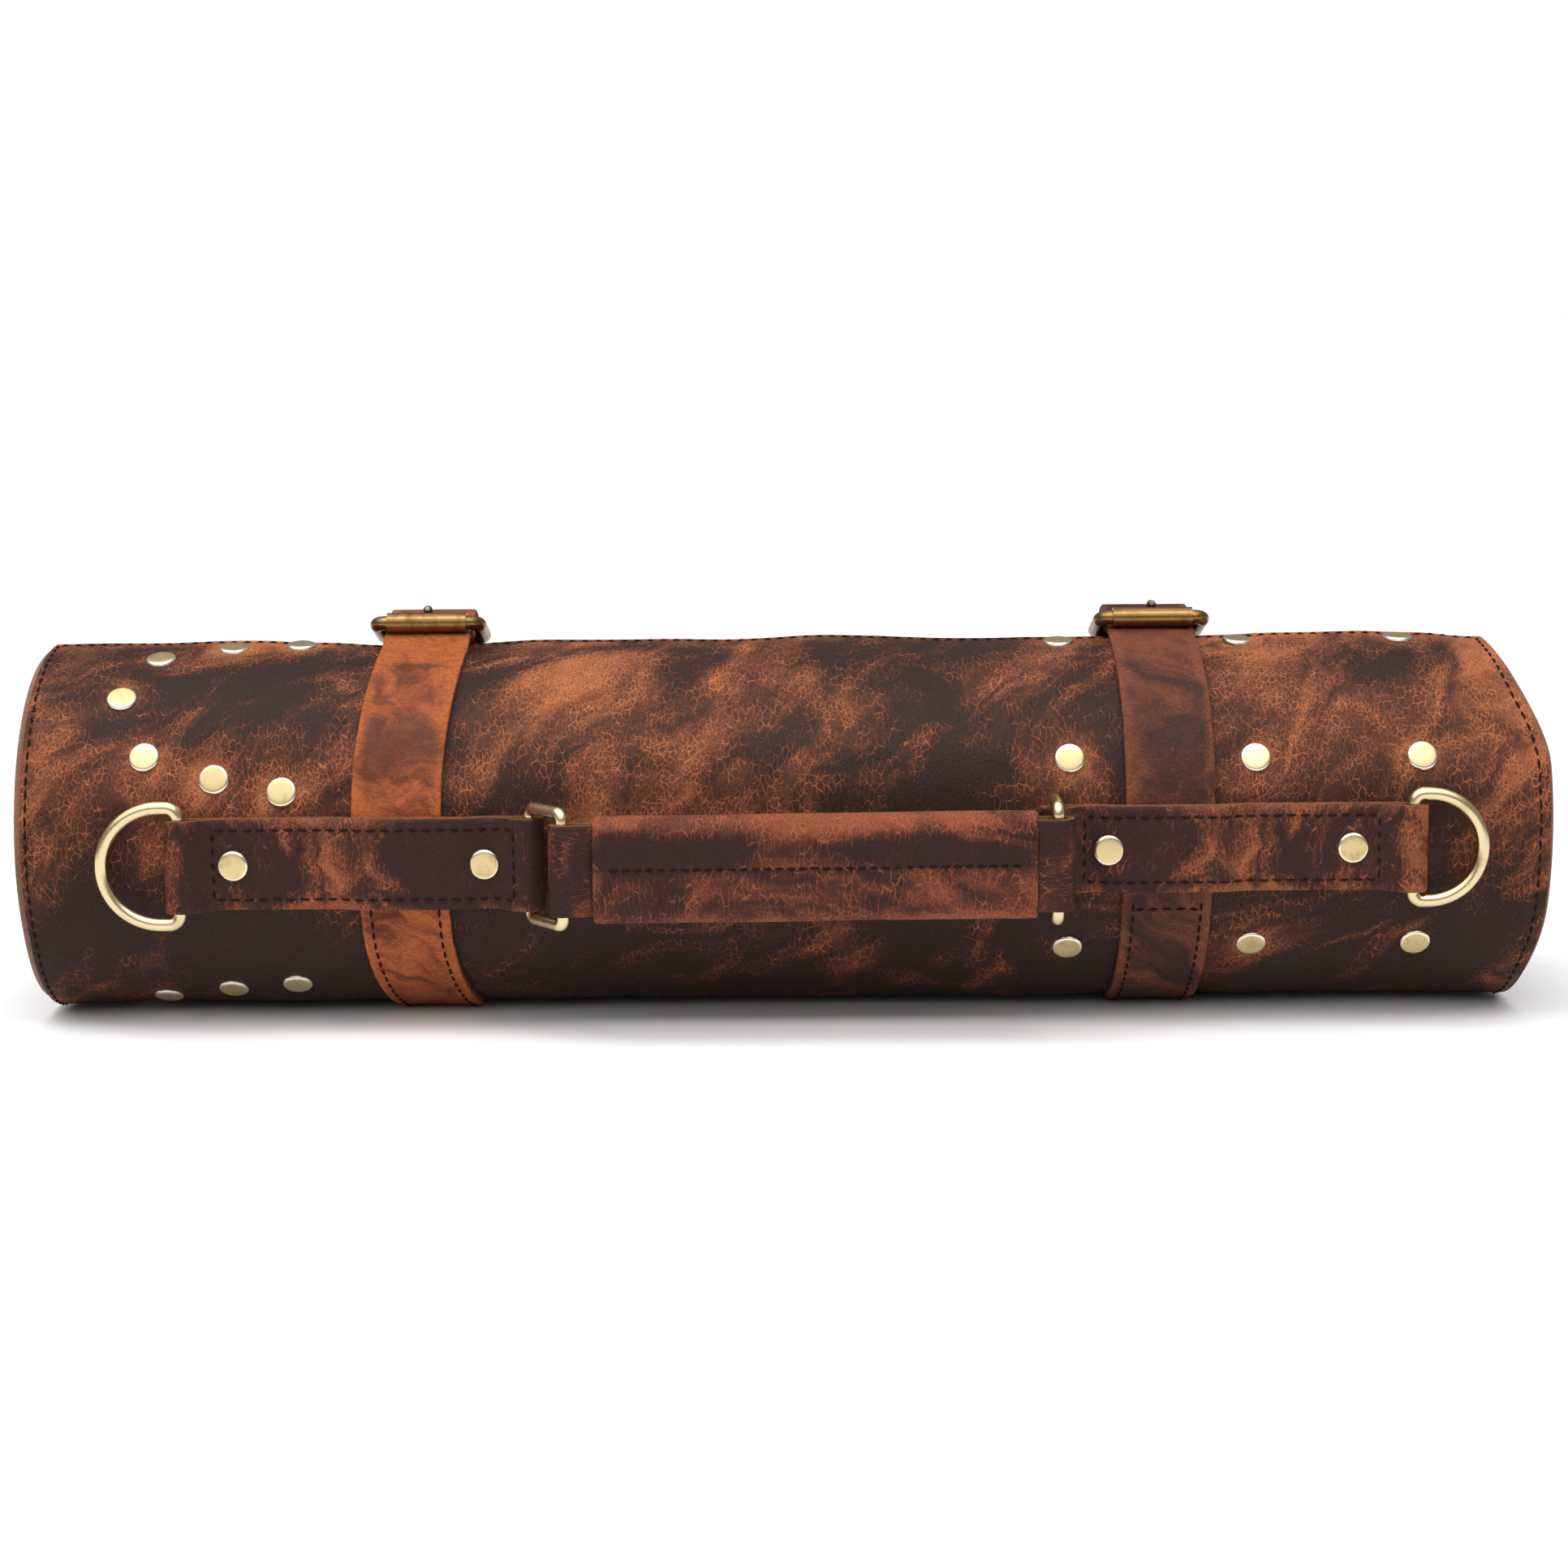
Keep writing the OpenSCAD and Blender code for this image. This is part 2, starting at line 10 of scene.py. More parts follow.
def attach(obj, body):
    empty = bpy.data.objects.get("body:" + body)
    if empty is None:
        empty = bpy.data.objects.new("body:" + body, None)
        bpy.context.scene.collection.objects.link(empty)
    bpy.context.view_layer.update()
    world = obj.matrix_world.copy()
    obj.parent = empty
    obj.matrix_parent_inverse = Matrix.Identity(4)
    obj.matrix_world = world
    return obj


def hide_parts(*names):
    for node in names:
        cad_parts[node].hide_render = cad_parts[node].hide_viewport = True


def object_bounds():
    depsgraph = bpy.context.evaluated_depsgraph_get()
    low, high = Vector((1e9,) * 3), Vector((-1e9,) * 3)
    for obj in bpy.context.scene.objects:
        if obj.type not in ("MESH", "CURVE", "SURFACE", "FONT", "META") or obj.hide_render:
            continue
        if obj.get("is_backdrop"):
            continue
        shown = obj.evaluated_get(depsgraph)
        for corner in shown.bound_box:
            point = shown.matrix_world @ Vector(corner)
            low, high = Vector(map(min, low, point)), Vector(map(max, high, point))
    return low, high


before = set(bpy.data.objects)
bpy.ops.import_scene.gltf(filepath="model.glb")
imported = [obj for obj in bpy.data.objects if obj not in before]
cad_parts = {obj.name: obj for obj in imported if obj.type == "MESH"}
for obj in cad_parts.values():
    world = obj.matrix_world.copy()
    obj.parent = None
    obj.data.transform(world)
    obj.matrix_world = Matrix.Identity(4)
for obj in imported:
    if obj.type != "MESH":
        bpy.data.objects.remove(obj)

CAD_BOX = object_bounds()
MM = 0.001

# --- the roll's own geometry, as in the CAD source -----------------------------------------
AXIS_Y = 13.75 * MM
AXIS_Z = 57.7 * MM
LENGTH = 475 * MM
EDGE_R = 61.5 * MM
EDGE_ANGLE = 89.0
PITCH = 8.75 * MM
WOUND = 846.0
DEGREE_LONG = math.radians(1) * 60 * MM
FLAT = 55.5 * MM
OUTER = 2.0 * MM
LINING = 1.4 * MM
POCKET = 1.6 * MM
STRAP = 2.2 * MM
STRAP_W = 27.5 * MM
THIN = 1.6 * MM
LEFT_X = -114.5 * MM
RIGHT_X = 119.0 * MM
ROLLER_ANGLE = 84.0
ROLLER_R = 67.0 * MM
REAR_ANGLE = 104.0
REAR_R = 61.4 * MM
EYE = 3.98 * MM
LIE = 0.05 * MM
FOLD_END = 126
KEEPER_LOW = 134
KEEPER_HIGH = 144
BAR_R = 64.2 * MM
LEFT_D = -186.0 * MM
RIGHT_D = 193.0 * MM
LEFT_RING = -78.0 * MM
RIGHT_RING = 82.5 * MM
LEFT_BASE_Z = -2.1 * MM
RIGHT_BASE_Z = 0.9 * MM
LEFT_BASE_W = 28.7 * MM
RIGHT_BASE_W = 27.0 * MM
RING_REACH = 17.0 * MM
HANDLE_Z = -1.05 * MM
STRAP_START, STRAP_TIP = -112.0, 174.0
ROLLER_RADIUS = 3.25 * MM
PRONG_RADIUS = 1.5 * MM
PRONG_LIFT = 8

dice = random.Random(7)

# --- small helpers -------------------------------------------------------------------------


def sind(a):
    return math.sin(math.radians(a))


def cosd(a):
    return math.cos(math.radians(a))


def smooth(t):
    t = min(1.0, max(0.0, t))
    return t * t * (3 - 2 * t)


def ease(a, low, high, first, last):
    t = min(1.0, max(0.0, (a - low) / (high - low)))
    return first + (last - first) * (1 - math.cos(math.pi * t)) / 2


def skin(angle, offset):
    """Radius of the wound sheet at an angle from the front, flattened underneath."""
    back = EDGE_ANGLE - angle
    radius = EDGE_R - PITCH * back / 360 + offset
    down = cosd(angle + 90)
    if down > 0.5 and back < 270:
        return min(radius, (FLAT + offset) / down)
    return radius


def back_skin(angle, offset):
    return skin(angle - 360, offset)


def place(x, angle, radius):
    return Vector((x, AXIS_Y - radius * cosd(angle), AXIS_Z + radius * sind(angle)))


def outward(angle):
    return Vector((0, -cosd(angle), sind(angle)))


def bump_at(x, centre, width):
    d = (x - centre) / width
    return math.exp(-d * d)


def dimple(x, across, rivet_x, width):
    """1 at a rivet, fading to nothing over a few widths."""
    d2 = ((x - rivet_x) ** 2 + across * across) / width ** 2
    return math.exp(-d2) if d2 < 8 else 0.0


# --- rivets' places (x, angle) -------------------------------------------------------------


def pocket_places():
    """Three rounded pocket ends of seven rivets at the left, and rows round the roll at the right."""
    places = []
    for middle in (50.5, -82.0, -214.5):
        for x, half in ((-155, 31.5), (-176, 27.5), (-198, 20.3)):
            places += [(x * MM, middle + side * half) for side in (-1, 1)]
        places.append((-207 * MM, middle))
    for x in (88.4, 146, 197.5):
        places += [(x * MM, angle) for angle in (81, 27.6, -33.6, -94, -154, -214)]
    return places


POCKET_RIVETS = pocket_places()
BASE_RIVETS = [(-169.4 * MM, LEFT_BASE_Z), (-92.2 * MM, LEFT_BASE_Z),
               (99.4 * MM, RIGHT_BASE_Z), (174.5 * MM, RIGHT_BASE_Z)]


def relief(x, angle):
    """How far the outermost turn stands off its ideal surface, in metres."""
    back = EDGE_ANGLE - angle
    if back > 420:
        return 0.0
    around = Vector((x * 9, cosd(angle) * 0.55, sind(angle) * 0.55))
    swell = noise.noise(around + Vector((3.1, 7.7, 1.3))) * 1.1 * MM
    ripple = noise.noise(around * 3.3 + Vector((9.2, 0.4, 5.1))) * 0.55 * MM
    crease = noise.noise(Vector((x * 60, angle * 0.05, 4.4))) * 0.16 * MM
    height = swell + ripple + crease
    # cinched under the two closure straps, and swelling a little beside them
    cinch = bump_at(x, LEFT_X, 17 * MM) + bump_at(x, RIGHT_X, 17 * MM)
    beside = sum(bump_at(x, c + s * 34 * MM, 16 * MM) for c in (LEFT_X, RIGHT_X) for s in (-1, 1))
    height = height * (1 - 0.8 * min(1, cinch)) - 0.9 * MM * cinch + 0.35 * MM * beside
    # drawn in round each rivet, and puffed up a little further off
    for rx, ra in POCKET_RIVETS:
        pressed = dimple(x, (angle - ra) * DEGREE_LONG, rx, 8.5 * MM)
        if pressed:
            height += (0.25 * pressed ** (1 / 2.4) - pressed) * MM
    # held flat behind the handle base and under the roll
    calm = max(bump_at(angle, -2, 17) * (1 if 70 * MM < abs(x) < 205 * MM else 0.0),
               bump_at(angle, -90, 16))
    height = height * (1 - calm) - 0.25 * MM * calm
    # the top sinks toward the free edge, which waves and droops at its ends
    if back < 40:
        wave = math.sin(x * 71 + 0.6) * 0.45 + math.sin(x * 29 + 2.0) * 0.4
        droop = 1.5 - 1.2 * bump_at(x, 46 * MM, 30 * MM) + 0.8 * bump_at(x, -LENGTH / 2, 20 * MM) \
            + 1.0 * bump_at(x, LENGTH / 2, 20 * MM) - 0.8 * bump_at(x, 150 * MM, 45 * MM)
        height += (wave * (1 - 0.8 * min(1, cinch)) - droop) * MM * smooth(1 - back / 40)
    # the ends open out a little below the middle
    opened = max(0.0, 0.25 - 0.75 * sind(angle)) * (1 - 0.9 * bump_at(angle, -90, 30))
    height += opened * 1.6 * MM * smooth((-x - LENGTH / 2 + 30 * MM) / (30 * MM))
    height += opened * 0.9 * MM * smooth((x - LENGTH / 2 + 24 * MM) / (24 * MM))
    return height * smooth((420 - back) / 60)


def end_pull(x, z):
    """The roll's ends aren't square: how far a point at height z over the axis is drawn inward."""
    if x > 0:
        share = smooth((x - 203 * MM) / (34 * MM))
        pull = 0.4 + 10.0 * smooth((z - 24 * MM) / (38 * MM)) + 3.0 * smooth((-z - 20 * MM) / (34 * MM))
        return -share * pull * MM
    share = smooth((-x - 203 * MM) / (34 * MM))
    return share * (0.3 * smooth((z - 34 * MM) / (26 * MM)) - 0.6) * MM


def tail_arch(angle):
    """The stiff tail stands up off the buckle's bar before it goes down through its keeper."""
    return 2.9 * MM * smooth((angle - 92) / 10) * smooth((128 - angle) / 20)


def closure_under(angle, x):
    """Underside of a closure strap, lying on the relief up to the roller."""
    return lying_under(angle, x) + tail_arch(angle)


def lying_under(angle, x):
    """The same for a tail that doesn't arch."""
    lap = REAR_R + EYE
    if angle < 76:
        return skin(angle, 0) + relief(x, angle) + 0.02 * MM
    if angle < ROLLER_ANGLE:
        return skin(angle, LIE) + ease(angle, 76, ROLLER_ANGLE, relief(x, angle), 0)
    if angle < REAR_ANGLE:
        return ease(angle, ROLLER_ANGLE, REAR_ANGLE, skin(ROLLER_ANGLE, LIE), lap + LIE)
    if angle < FOLD_END:
        return buckle_top(angle) + LIE
    settled = 146
    lower = ease(angle, FOLD_END, settled, buckle_top(FOLD_END - 0.1), buckle_top(settled)) + LIE
    return lower + max(0, angle - settled) * PITCH / 360


def strap_lean(side, angle):
    """How far a closure strap's middle strays along the roll from its buckle's."""
    if side == "Left":
        return MM * (ease(angle, -90, -20, 4.0, -3.2) + ease(angle, -20, 12, 0, -1.8)
                     + ease(angle, 14, 82, 0, 5.0))
    return MM * (ease(angle, -80, -20, -1.5, -0.6) + ease(angle, -20, 25, 0, 0.8)
                 + ease(angle, 30, 80, 0, -0.6))


def buckle_under(angle):
    """Underside of the strap that holds a buckle, lifted where its keeper passes below."""
    keeper_room = THIN + 0.45 * MM
    if angle < 122:
        return ease(angle, REAR_ANGLE, 122, REAR_R - EYE + LIE, back_skin(122, LIE))
    if angle < 138:
        return back_skin(angle, ease(angle, 122, 132, LIE, keeper_room))
    return back_skin(angle, ease(angle, 146, 156, keeper_room, LIE))


def buckle_top(angle):
    """Top of the buckle's strap, which is folded double as far as FOLD_END."""
    if angle < FOLD_END:
        doubled = buckle_under(FOLD_END) + 2 * THIN + 0.2 * MM
        return ease(angle, REAR_ANGLE, FOLD_END, REAR_R + EYE - LIE, doubled)
    return buckle_under(angle) + THIN


# --- mesh builders -------------------------------------------------------------------------


def new_object(name, bm, materials, smooth_angle=40):
    mesh = bpy.data.meshes.new(name)
    bmesh.ops.recalc_face_normals(bm, faces=bm.faces)
    bm.to_mesh(mesh)
    bm.free()
    piece = bpy.data.objects.new(name, mesh)
    bpy.context.scene.collection.objects.link(piece)
    for material in materials:
        mesh.materials.append(material)
    mesh.polygons.foreach_set("use_smooth", [True] * len(mesh.polygons))
    mesh.set_sharp_from_angle(angle=math.radians(smooth_angle))
    return piece


def hand_in(piece, body, node, slot_name):
    """Says which body a piece rides on and which CAD part it replaces, which it hides; slot_name is not
    used.
    """
    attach(piece, body)
    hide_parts(node)


def slab(name, us, vs, surface, materials, keep=None, closed=False, along=None, wear_and_shade=None):
    """A sheet with real thickness. surface(u, v, side) gives its face for side 1 and its back for
    side -1; keep(i, v) may leave cells out. Materials are [face, back, cut edge]. The UV map holds
    the distance along the sheet and v, in metres; the last argument, a function of (u, v), gives how
    much paler the leather is there than by chance, negative where darker: wear, and on the panel and
    grip also painted shade and painted highlight."""
    bm = bmesh.new()
    uv = bm.loops.layers.uv.new("Sheet")
    # per-vertex paling: wear, and on the panel and grip also painted shade and painted highlight
    rubbed = bm.verts.layers.float.new("wear_and_shade")
    nu, nv = len(us), len(vs)
    tops = [[bm.verts.new(surface(u, v, 1)) for v in vs] for u in us]
    lows = [[bm.verts.new(surface(u, v, -1)) for v in vs] for u in us]
    if wear_and_shade is not None:
        for i, u in enumerate(us):
            for j, v in enumerate(vs):
                tops[i][j][rubbed] = lows[i][j][rubbed] = wear_and_shade(u, v)
    rows = nu if closed else nu - 1
    if along is None:
        middle = nv // 2
        along = [0.0]
        for i in range(rows):
            gap = tops[(i + 1) % nu][middle].co - tops[i][middle].co
            along.append(along[-1] + gap.length)
    kept = [[keep is None or keep(i, vs[j]) for j in range(nv - 1)] for i in range(rows)]

    def face(corners, slot, spots):
        f = bm.faces.new(corners)
        f.material_index = slot
        for loop, spot in zip(f.loops, spots):
            loop[uv].uv = spot

    def kept_at(i, j):
        if closed:
            i %= rows
        return 0 <= i < rows and 0 <= j < nv - 1 and kept[i][j]

    for i in range(rows):
        n = (i + 1) % nu
        here, there = along[i], along[i + 1]
        for j in range(nv - 1):
            if not kept[i][j]:
                continue
            spots = [(here, vs[j]), (there, vs[j]), (there, vs[j + 1]), (here, vs[j + 1])]
            face([tops[i][j], tops[n][j], tops[n][j + 1], tops[i][j + 1]], 0, spots)
            face([lows[i][j], lows[i][j + 1], lows[n][j + 1], lows[n][j]], 1,
                 [spots[0], spots[3], spots[2], spots[1]])
            for di, dj, a, b, sa, sb in ((-1, 0, (i, j), (i, j + 1), 0, 3),
                                         (1, 0, (n, j), (n, j + 1), 1, 2),
                                         (0, -1, (i, j), (n, j), 0, 1),
                                         (0, 1, (i, j + 1), (n, j + 1), 3, 2)):
                if not kept_at(i + di, j + dj):
                    ta, tb = tops[a[0]][a[1]], tops[b[0]][b[1]]
                    la, lb = lows[a[0]][a[1]], lows[b[0]][b[1]]
                    face([ta, tb, lb, la], 2, [spots[sa], spots[sb], spots[sb], spots[sa]])
    loose = [v for v in bm.verts if not v.link_faces]
    bmesh.ops.delete(bm, geom=loose, context="VERTS")
    return new_object(name, bm, materials)


def spread(low, high, step, edge=0.6 * MM):
    """Even stations with two extra ones close to each end, for a rounded border."""
    count = max(1, round((high - low) / step))
    inner = [low + (high - low) * i / count for i in range(1, count)]
    return [low, low + edge * 0.35, low + edge] + inner + [high - edge, high - edge * 0.35, high]


def rim(v, low, high, depth=0.45 * MM, reach=0.7 * MM):
    """How much a sheet's face drops at a cut border, for a worn, rounded edge."""
    d = min(v - low, high - v)
    if d >= reach:
        return 0.0
    t = 1 - d / reach
    return depth * t * t


def lathe(bm, centre, normal, profile, segments=32, slot=0):
    """Turns (radius, height) points about an axis through centre along normal."""
    turn = normal.to_track_quat("Z", "Y").to_matrix()
    rings = []
    for r, h in profile:
        if r < 1e-7:
            rings.append([bm.verts.new(centre + turn @ Vector((0, 0, h)))])
        else:
            rings.append([bm.verts.new(centre + turn @ Vector((
                r * math.cos(2 * math.pi * k / segments),
                r * math.sin(2 * math.pi * k / segments), h))) for k in range(segments)])
    for a, b in zip(rings, rings[1:]):
        for k in range(segments):
            n = (k + 1) % segments
            if len(a) == 1 and len(b) == 1:
                continue
            if len(a) == 1:
                corners = [a[0], b[k], b[n]]
            elif len(b) == 1:
                corners = [a[k], a[n], b[0]]
            else:
                corners = [a[k], a[n], b[n], b[k]]
            bm.faces.new(corners).material_index = slot


def oval(bm, centre, across, up, count=8):
    """A ring of vertices round centre, with across and up as its half axes."""
    return [bm.verts.new(centre + across * cosd(360 * k / count) + up * sind(360 * k / count))
            for k in range(count)]


def join_rings(bm, rings):
    """Skins rings of vertices into a closed solid."""
    for a, b in zip(rings, rings[1:]):
        for k in range(len(a)):
            n = (k + 1) % len(a)
            bm.faces.new([a[k], a[n], b[n], b[k]])
    bm.faces.new(rings[0][::-1])
    bm.faces.new(rings[-1])


def stitch(bm, start, end, normal):
    """One thread stitch: a short rounded bar that dips into its holes at both ends."""
    side = (end - start).cross(normal).normalized()
    start = start + side * dice.uniform(-0.12, 0.12) * MM
    end = end + side * dice.uniform(-0.12, 0.12) * MM
    along = end - start
    rings = []
    for t in (0.0, 0.12, 0.35, 0.65, 0.88, 1.0):
        arch = math.sin(math.pi * t)
        size = 0.42 * MM * (0.55 + 0.45 * min(1.0, arch * 1.8))
        centre = start + along * t + normal * (arch * 0.38 - 0.1) * MM
        rings.append(oval(bm, centre, side * size, normal * size * 0.8))
    join_rings(bm, rings)
    # the needle's holes: dark discs a little wider than the thread, for the thread going down into them
    # and, round it, painted shade in the open hole
    way = along.normalized()
    for point, out in ((start, -0.15 * MM), (end, 0.15 * MM)):
        join_rings(bm, [oval(bm, point + way * out + normal * level, side * 0.34 * MM, way * 0.3 * MM)
                        for level in (-0.3 * MM, 0.06 * MM)])


def sew(bm, surface, first, last, count, pitch=4.2 * MM):
    """Stitches from one spot to another, each an (a, b) pair, along a line measured in count
    steps; surface(a, b) gives the point there and its normal."""
    spots = [[p + (q - p) * i / count for p, q in zip(first, last)] for i in range(count + 1)]
    points = [surface(*spot)[0] for spot in spots]
    lengths = [0.0]
    for p, q in zip(points, points[1:]):
        lengths.append(lengths[-1] + (q - p).length)
    total = lengths[-1]
    stitches = max(1, round(total / pitch))

    def at(s):
        s = min(max(s, 0.0), total)
        i = 1
        while i < len(lengths) - 1 and lengths[i] < s:
            i += 1
        t = (s - lengths[i - 1]) / max(1e-9, lengths[i] - lengths[i - 1])
        return surface(*[p + (q - p) * t for p, q in zip(spots[i - 1], spots[i])])

    for k in range(stitches):
        p, n1 = at(total * (k + 0.25) / stitches)
        q, n2 = at(total * (k + 0.75) / stitches)
        stitch(bm, p, q, (n1 + n2).normalized())


def sew_round(bm, surface, corners):
    """Stitches through corners, each a (spot, steps to the next) pair."""
    for (a, count), (b, _) in zip(corners, corners[1:] + corners[:1]):
        sew(bm, surface, a, b, count)


def arc(path, centre, height, radius, first, last, count, way=1):
    """Adds an arc to a band's path of (place, height, and the outward side's two parts)."""
    for i in range(count + 1):
        a = first + (last - first) * i / count
        path.append((centre + way * radius * cosd(a), height + radius * sind(a), way * cosd(a), sind(a)))


# --- materials -----------------------------------------------------------------------------


class Nodes:
    """A node tree filled with short calls. node() returns a node, the others an output socket."""

    def __init__(self, holder):
        holder.use_nodes = True
        self.tree = holder.node_tree
        self.tree.nodes.clear()
        self.coords = None

    def plug(self, n, inputs):
        """Sets a node's inputs: each is a plain value, another node's output, or None."""
        for key, value in inputs.items():
            if isinstance(value, bpy.types.NodeSocket):
                self.tree.links.new(value, n.inputs[key])
            elif value is not None:
                n.inputs[key].default_value = value
        return n

    def node(self, kind, inputs, **settings):
        n = self.tree.nodes.new("ShaderNode" + kind)
        for key, value in settings.items():
            setattr(n, key, value)
        return self.plug(n, inputs)

    def wear_and_shade(self):
        return self.node("Attribute", {}, attribute_name="wear_and_shade").outputs["Fac"]

    def mapped(self, scale=(1, 1, 1), turn=(0, 0, 0), move=(0, 0, 0), source=None):
        return self.node("Mapping", {"Vector": source or self.coords, "Scale": scale, "Location": move,
                                     "Rotation": [math.radians(t) for t in turn]}).outputs[0]

    def noise(self, where, scale, detail=4.0, rough=0.55, twist=0.0, output="Fac"):
        return self.node("TexNoise", {"Vector": where, "Scale": scale, "Detail": detail,
                                      "Roughness": rough, "Distortion": twist}).outputs[output]

    def cells(self, where, scale, feature="F1", dimensions="2D"):
        return self.node("TexVoronoi", {"Vector": where, "Scale": scale}, feature=feature,
                         voronoi_dimensions=dimensions).outputs["Distance"]

    def warp(self, where, scale, detail, amount):
        """Shifts places by a coloured noise."""
        by = self.noise(self.seat, scale, detail, 0.5, output="Color")
        return self.node("VectorMath", {0: by, 1: (amount, amount, amount), 2: where},
                         operation="MULTIPLY_ADD").outputs[0]

    def ramp(self, value, low, high, first=0.0, last=1.0):
        return self.node("MapRange", {"Value": value, "From Min": low, "From Max": high,
                                      "To Min": first, "To Max": last},
                         interpolation_type="SMOOTHSTEP").outputs["Result"]

    def math(self, kind, a, b=None, c=None):
        return self.node("Math", {0: a, 1: b, 2: c}, operation=kind).outputs[0]

    def mix(self, share, a, b):
        a, b = (c if isinstance(c, bpy.types.NodeSocket) else (*c, 1) for c in (a, b))
        return self.node("Mix", {0: share, 6: a, 7: b}, data_type="RGBA").outputs[2]

    def bump(self, height, strength, distance, under=None):
        return self.node("Bump", {"Strength": strength, "Distance": distance, "Height": height,
                                  "Normal": under}).outputs[0]


class Paint(Nodes):
    """A material: the nodes that feed one Principled shader."""

    def __init__(self, name, move=(0, 0, 0), on_sheet=False):
        """seat holds places in the object, or in metres along and across a sheet, moved by move."""
        self.material = bpy.data.materials.new(name)
        super().__init__(self.material)
        self.shader = self.node("BsdfPrincipled", {})
        self.node("OutputMaterial", {"Surface": self.shader.outputs[0]})
        if on_sheet:
            self.coords = self.node("UVMap", {}, uv_map="Sheet").outputs[0]
        else:
            self.coords = self.node("TexCoord", {}).outputs["Object"]
        self.seat = self.mapped(move=move)

    def finish(self, colour, roughness, normal=None, **fixed):
        fixed = {key.replace("_", " "): value for key, value in fixed.items()}
        self.plug(self.shader, {"Base Color": colour, "Roughness": roughness, "Normal": normal, **fixed})
        return self.material


def pull_up(name, dark, middle, light, vein, wear_and_shade, seed, patch=13.0, spread_of_wear=0.2,
            streak_turn=45, across=False, draw=0.42, gloss=0.0, creased=1.0, grain=0.0):
    """Waxed pull-up leather. Its dark oily face opens into nets of rust-coloured creases, closer
    and paler the more it has been bent or rubbed; the sheet's attribute moves this too, and on the
    panel and grip that attribute also holds painted shade and painted highlight. creased is how plain
    the nets are; they are drawn out along the sheet, or across it, draw being how short a cell is
    that way. grain is how plain the fine wrinkles across the sheet are."""
    p = Paint(name, (seed, seed * 0.37, 0), on_sheet=True)
    seat = p.seat
    drift = p.warp(seat, patch * 0.9, 3.0, 0.085)
    cloud = p.noise(drift, patch, 3.0, 0.5, 0.4)
    turned = p.mapped(turn=(0, 0, streak_turn), source=drift)
    streak = p.noise(p.mapped(scale=(1.0, 2.2, 1), source=turned), patch * 1.9, 5.0, 0.6, 0.7)
    chance = p.math("MULTIPLY_ADD", streak, 0.6, p.math("MULTIPLY", cloud, 0.4))
    # adds the sheet's attribute, which holds wear and, on the panel and grip, painted shade and painted
    # highlight
    chance = p.math("ADD", chance, p.wear_and_shade())
    worn_and_shaded = p.ramp(chance, wear_and_shade - 0.07, wear_and_shade + spread_of_wear)
    # nets of creases, drawn out along the bend
    bent = p.warp(seat, 150.0, 3.0, 0.0050)
    bent = p.warp(bent, 620.0, 2.0, 0.0011)
    wiry = p.mapped(scale=(1.0, draw, 1) if across else (draw, 1.0, 1), source=bent)
    drawn = p.mapped(scale=(1.0, 0.62, 1) if across else (0.62, 1.0, 1), source=bent)
    fickle = p.ramp(p.noise(seat, 120.0, 4.0, 0.65, 0.4), 0.36, 0.6)

    def creases(where, scale, width, strength):
        share = p.math("DIVIDE", p.cells(where, scale, "DISTANCE_TO_EDGE"), width)
        return p.math("MULTIPLY", p.ramp(share, 1.0, 0.25), strength)

    veins = creases(wiry, 560.0, p.math("MULTIPLY_ADD", worn_and_shaded, 0.04, 0.05),
                    p.math("MULTIPLY", fickle, p.ramp(chance, wear_and_shade - 0.06, wear_and_shade + 0.03)))
    net = creases(drawn, 760.0, p.math("MULTIPLY_ADD", worn_and_shaded, 0.08, 0.05),
                  p.math("MULTIPLY", p.ramp(worn_and_shaded, 0.12, 0.55), p.ramp(fickle, 0.0, 1.0, 0.45, 1.0)))
    fine = creases(bent, 1150.0, p.math("MULTIPLY_ADD", worn_and_shaded, 0.10, 0.07), p.ramp(worn_and_shaded, 0.5, 1.0))
    lines = p.math("MAXIMUM", p.math("MAXIMUM", veins, net), fine)
    grit = p.noise(seat, 2300.0, 2.0, 0.6)
    mottle = p.noise(seat, 330.0, 4.0, 0.65)
    ground = p.mix(p.ramp(worn_and_shaded, 0.0, 0.75), dark, middle)
    rust = p.mix(p.ramp(p.math("MULTIPLY_ADD", mottle, 0.6, worn_and_shaded), 0.35, 1.25), vein, light)
    ground = p.mix(p.ramp(worn_and_shaded, 0.5, 1.0, 0.0, 0.22), ground, rust)
    colour = p.mix(p.math("MULTIPLY", lines, creased), ground, rust)
    colour = p.mix(p.ramp(grit, 0.52, 0.75, 0.0, 0.25), colour, rust)
    colour = p.mix(p.ramp(grit, 0.42, 0.28, 0.0, 0.5), colour, dark)
    wrinkle = p.noise(p.mapped(scale=(3.0, 1.0, 1), source=bent), 520.0, 3.0, 0.65, 0.3)
    colour = p.mix(p.ramp(wrinkle, 0.54, 0.40, 0.0, grain), colour, dark)
    cells = p.cells(bent, 1350.0)
    height = p.math("MULTIPLY_ADD", lines, -0.5, p.math("MULTIPLY", cells, -0.45))
    height = p.math("MULTIPLY_ADD", grit, 0.25, height)
    height = p.math("MULTIPLY_ADD", wrinkle, grain * 2, height)
    normal = p.bump(height, 0.5, 0.0004)
    normal = p.bump(p.noise(seat, 105.0, 4.0, 0.6, 0.5), 0.4, 0.0012, normal)
    rough = p.math("MULTIPLY_ADD", worn_and_shaded, 0.2, 0.40 - gloss)
    rough = p.math("MULTIPLY_ADD", mottle, 0.16, rough)
    return p.finish(colour, rough, normal, Specular_IOR_Level=0.12)


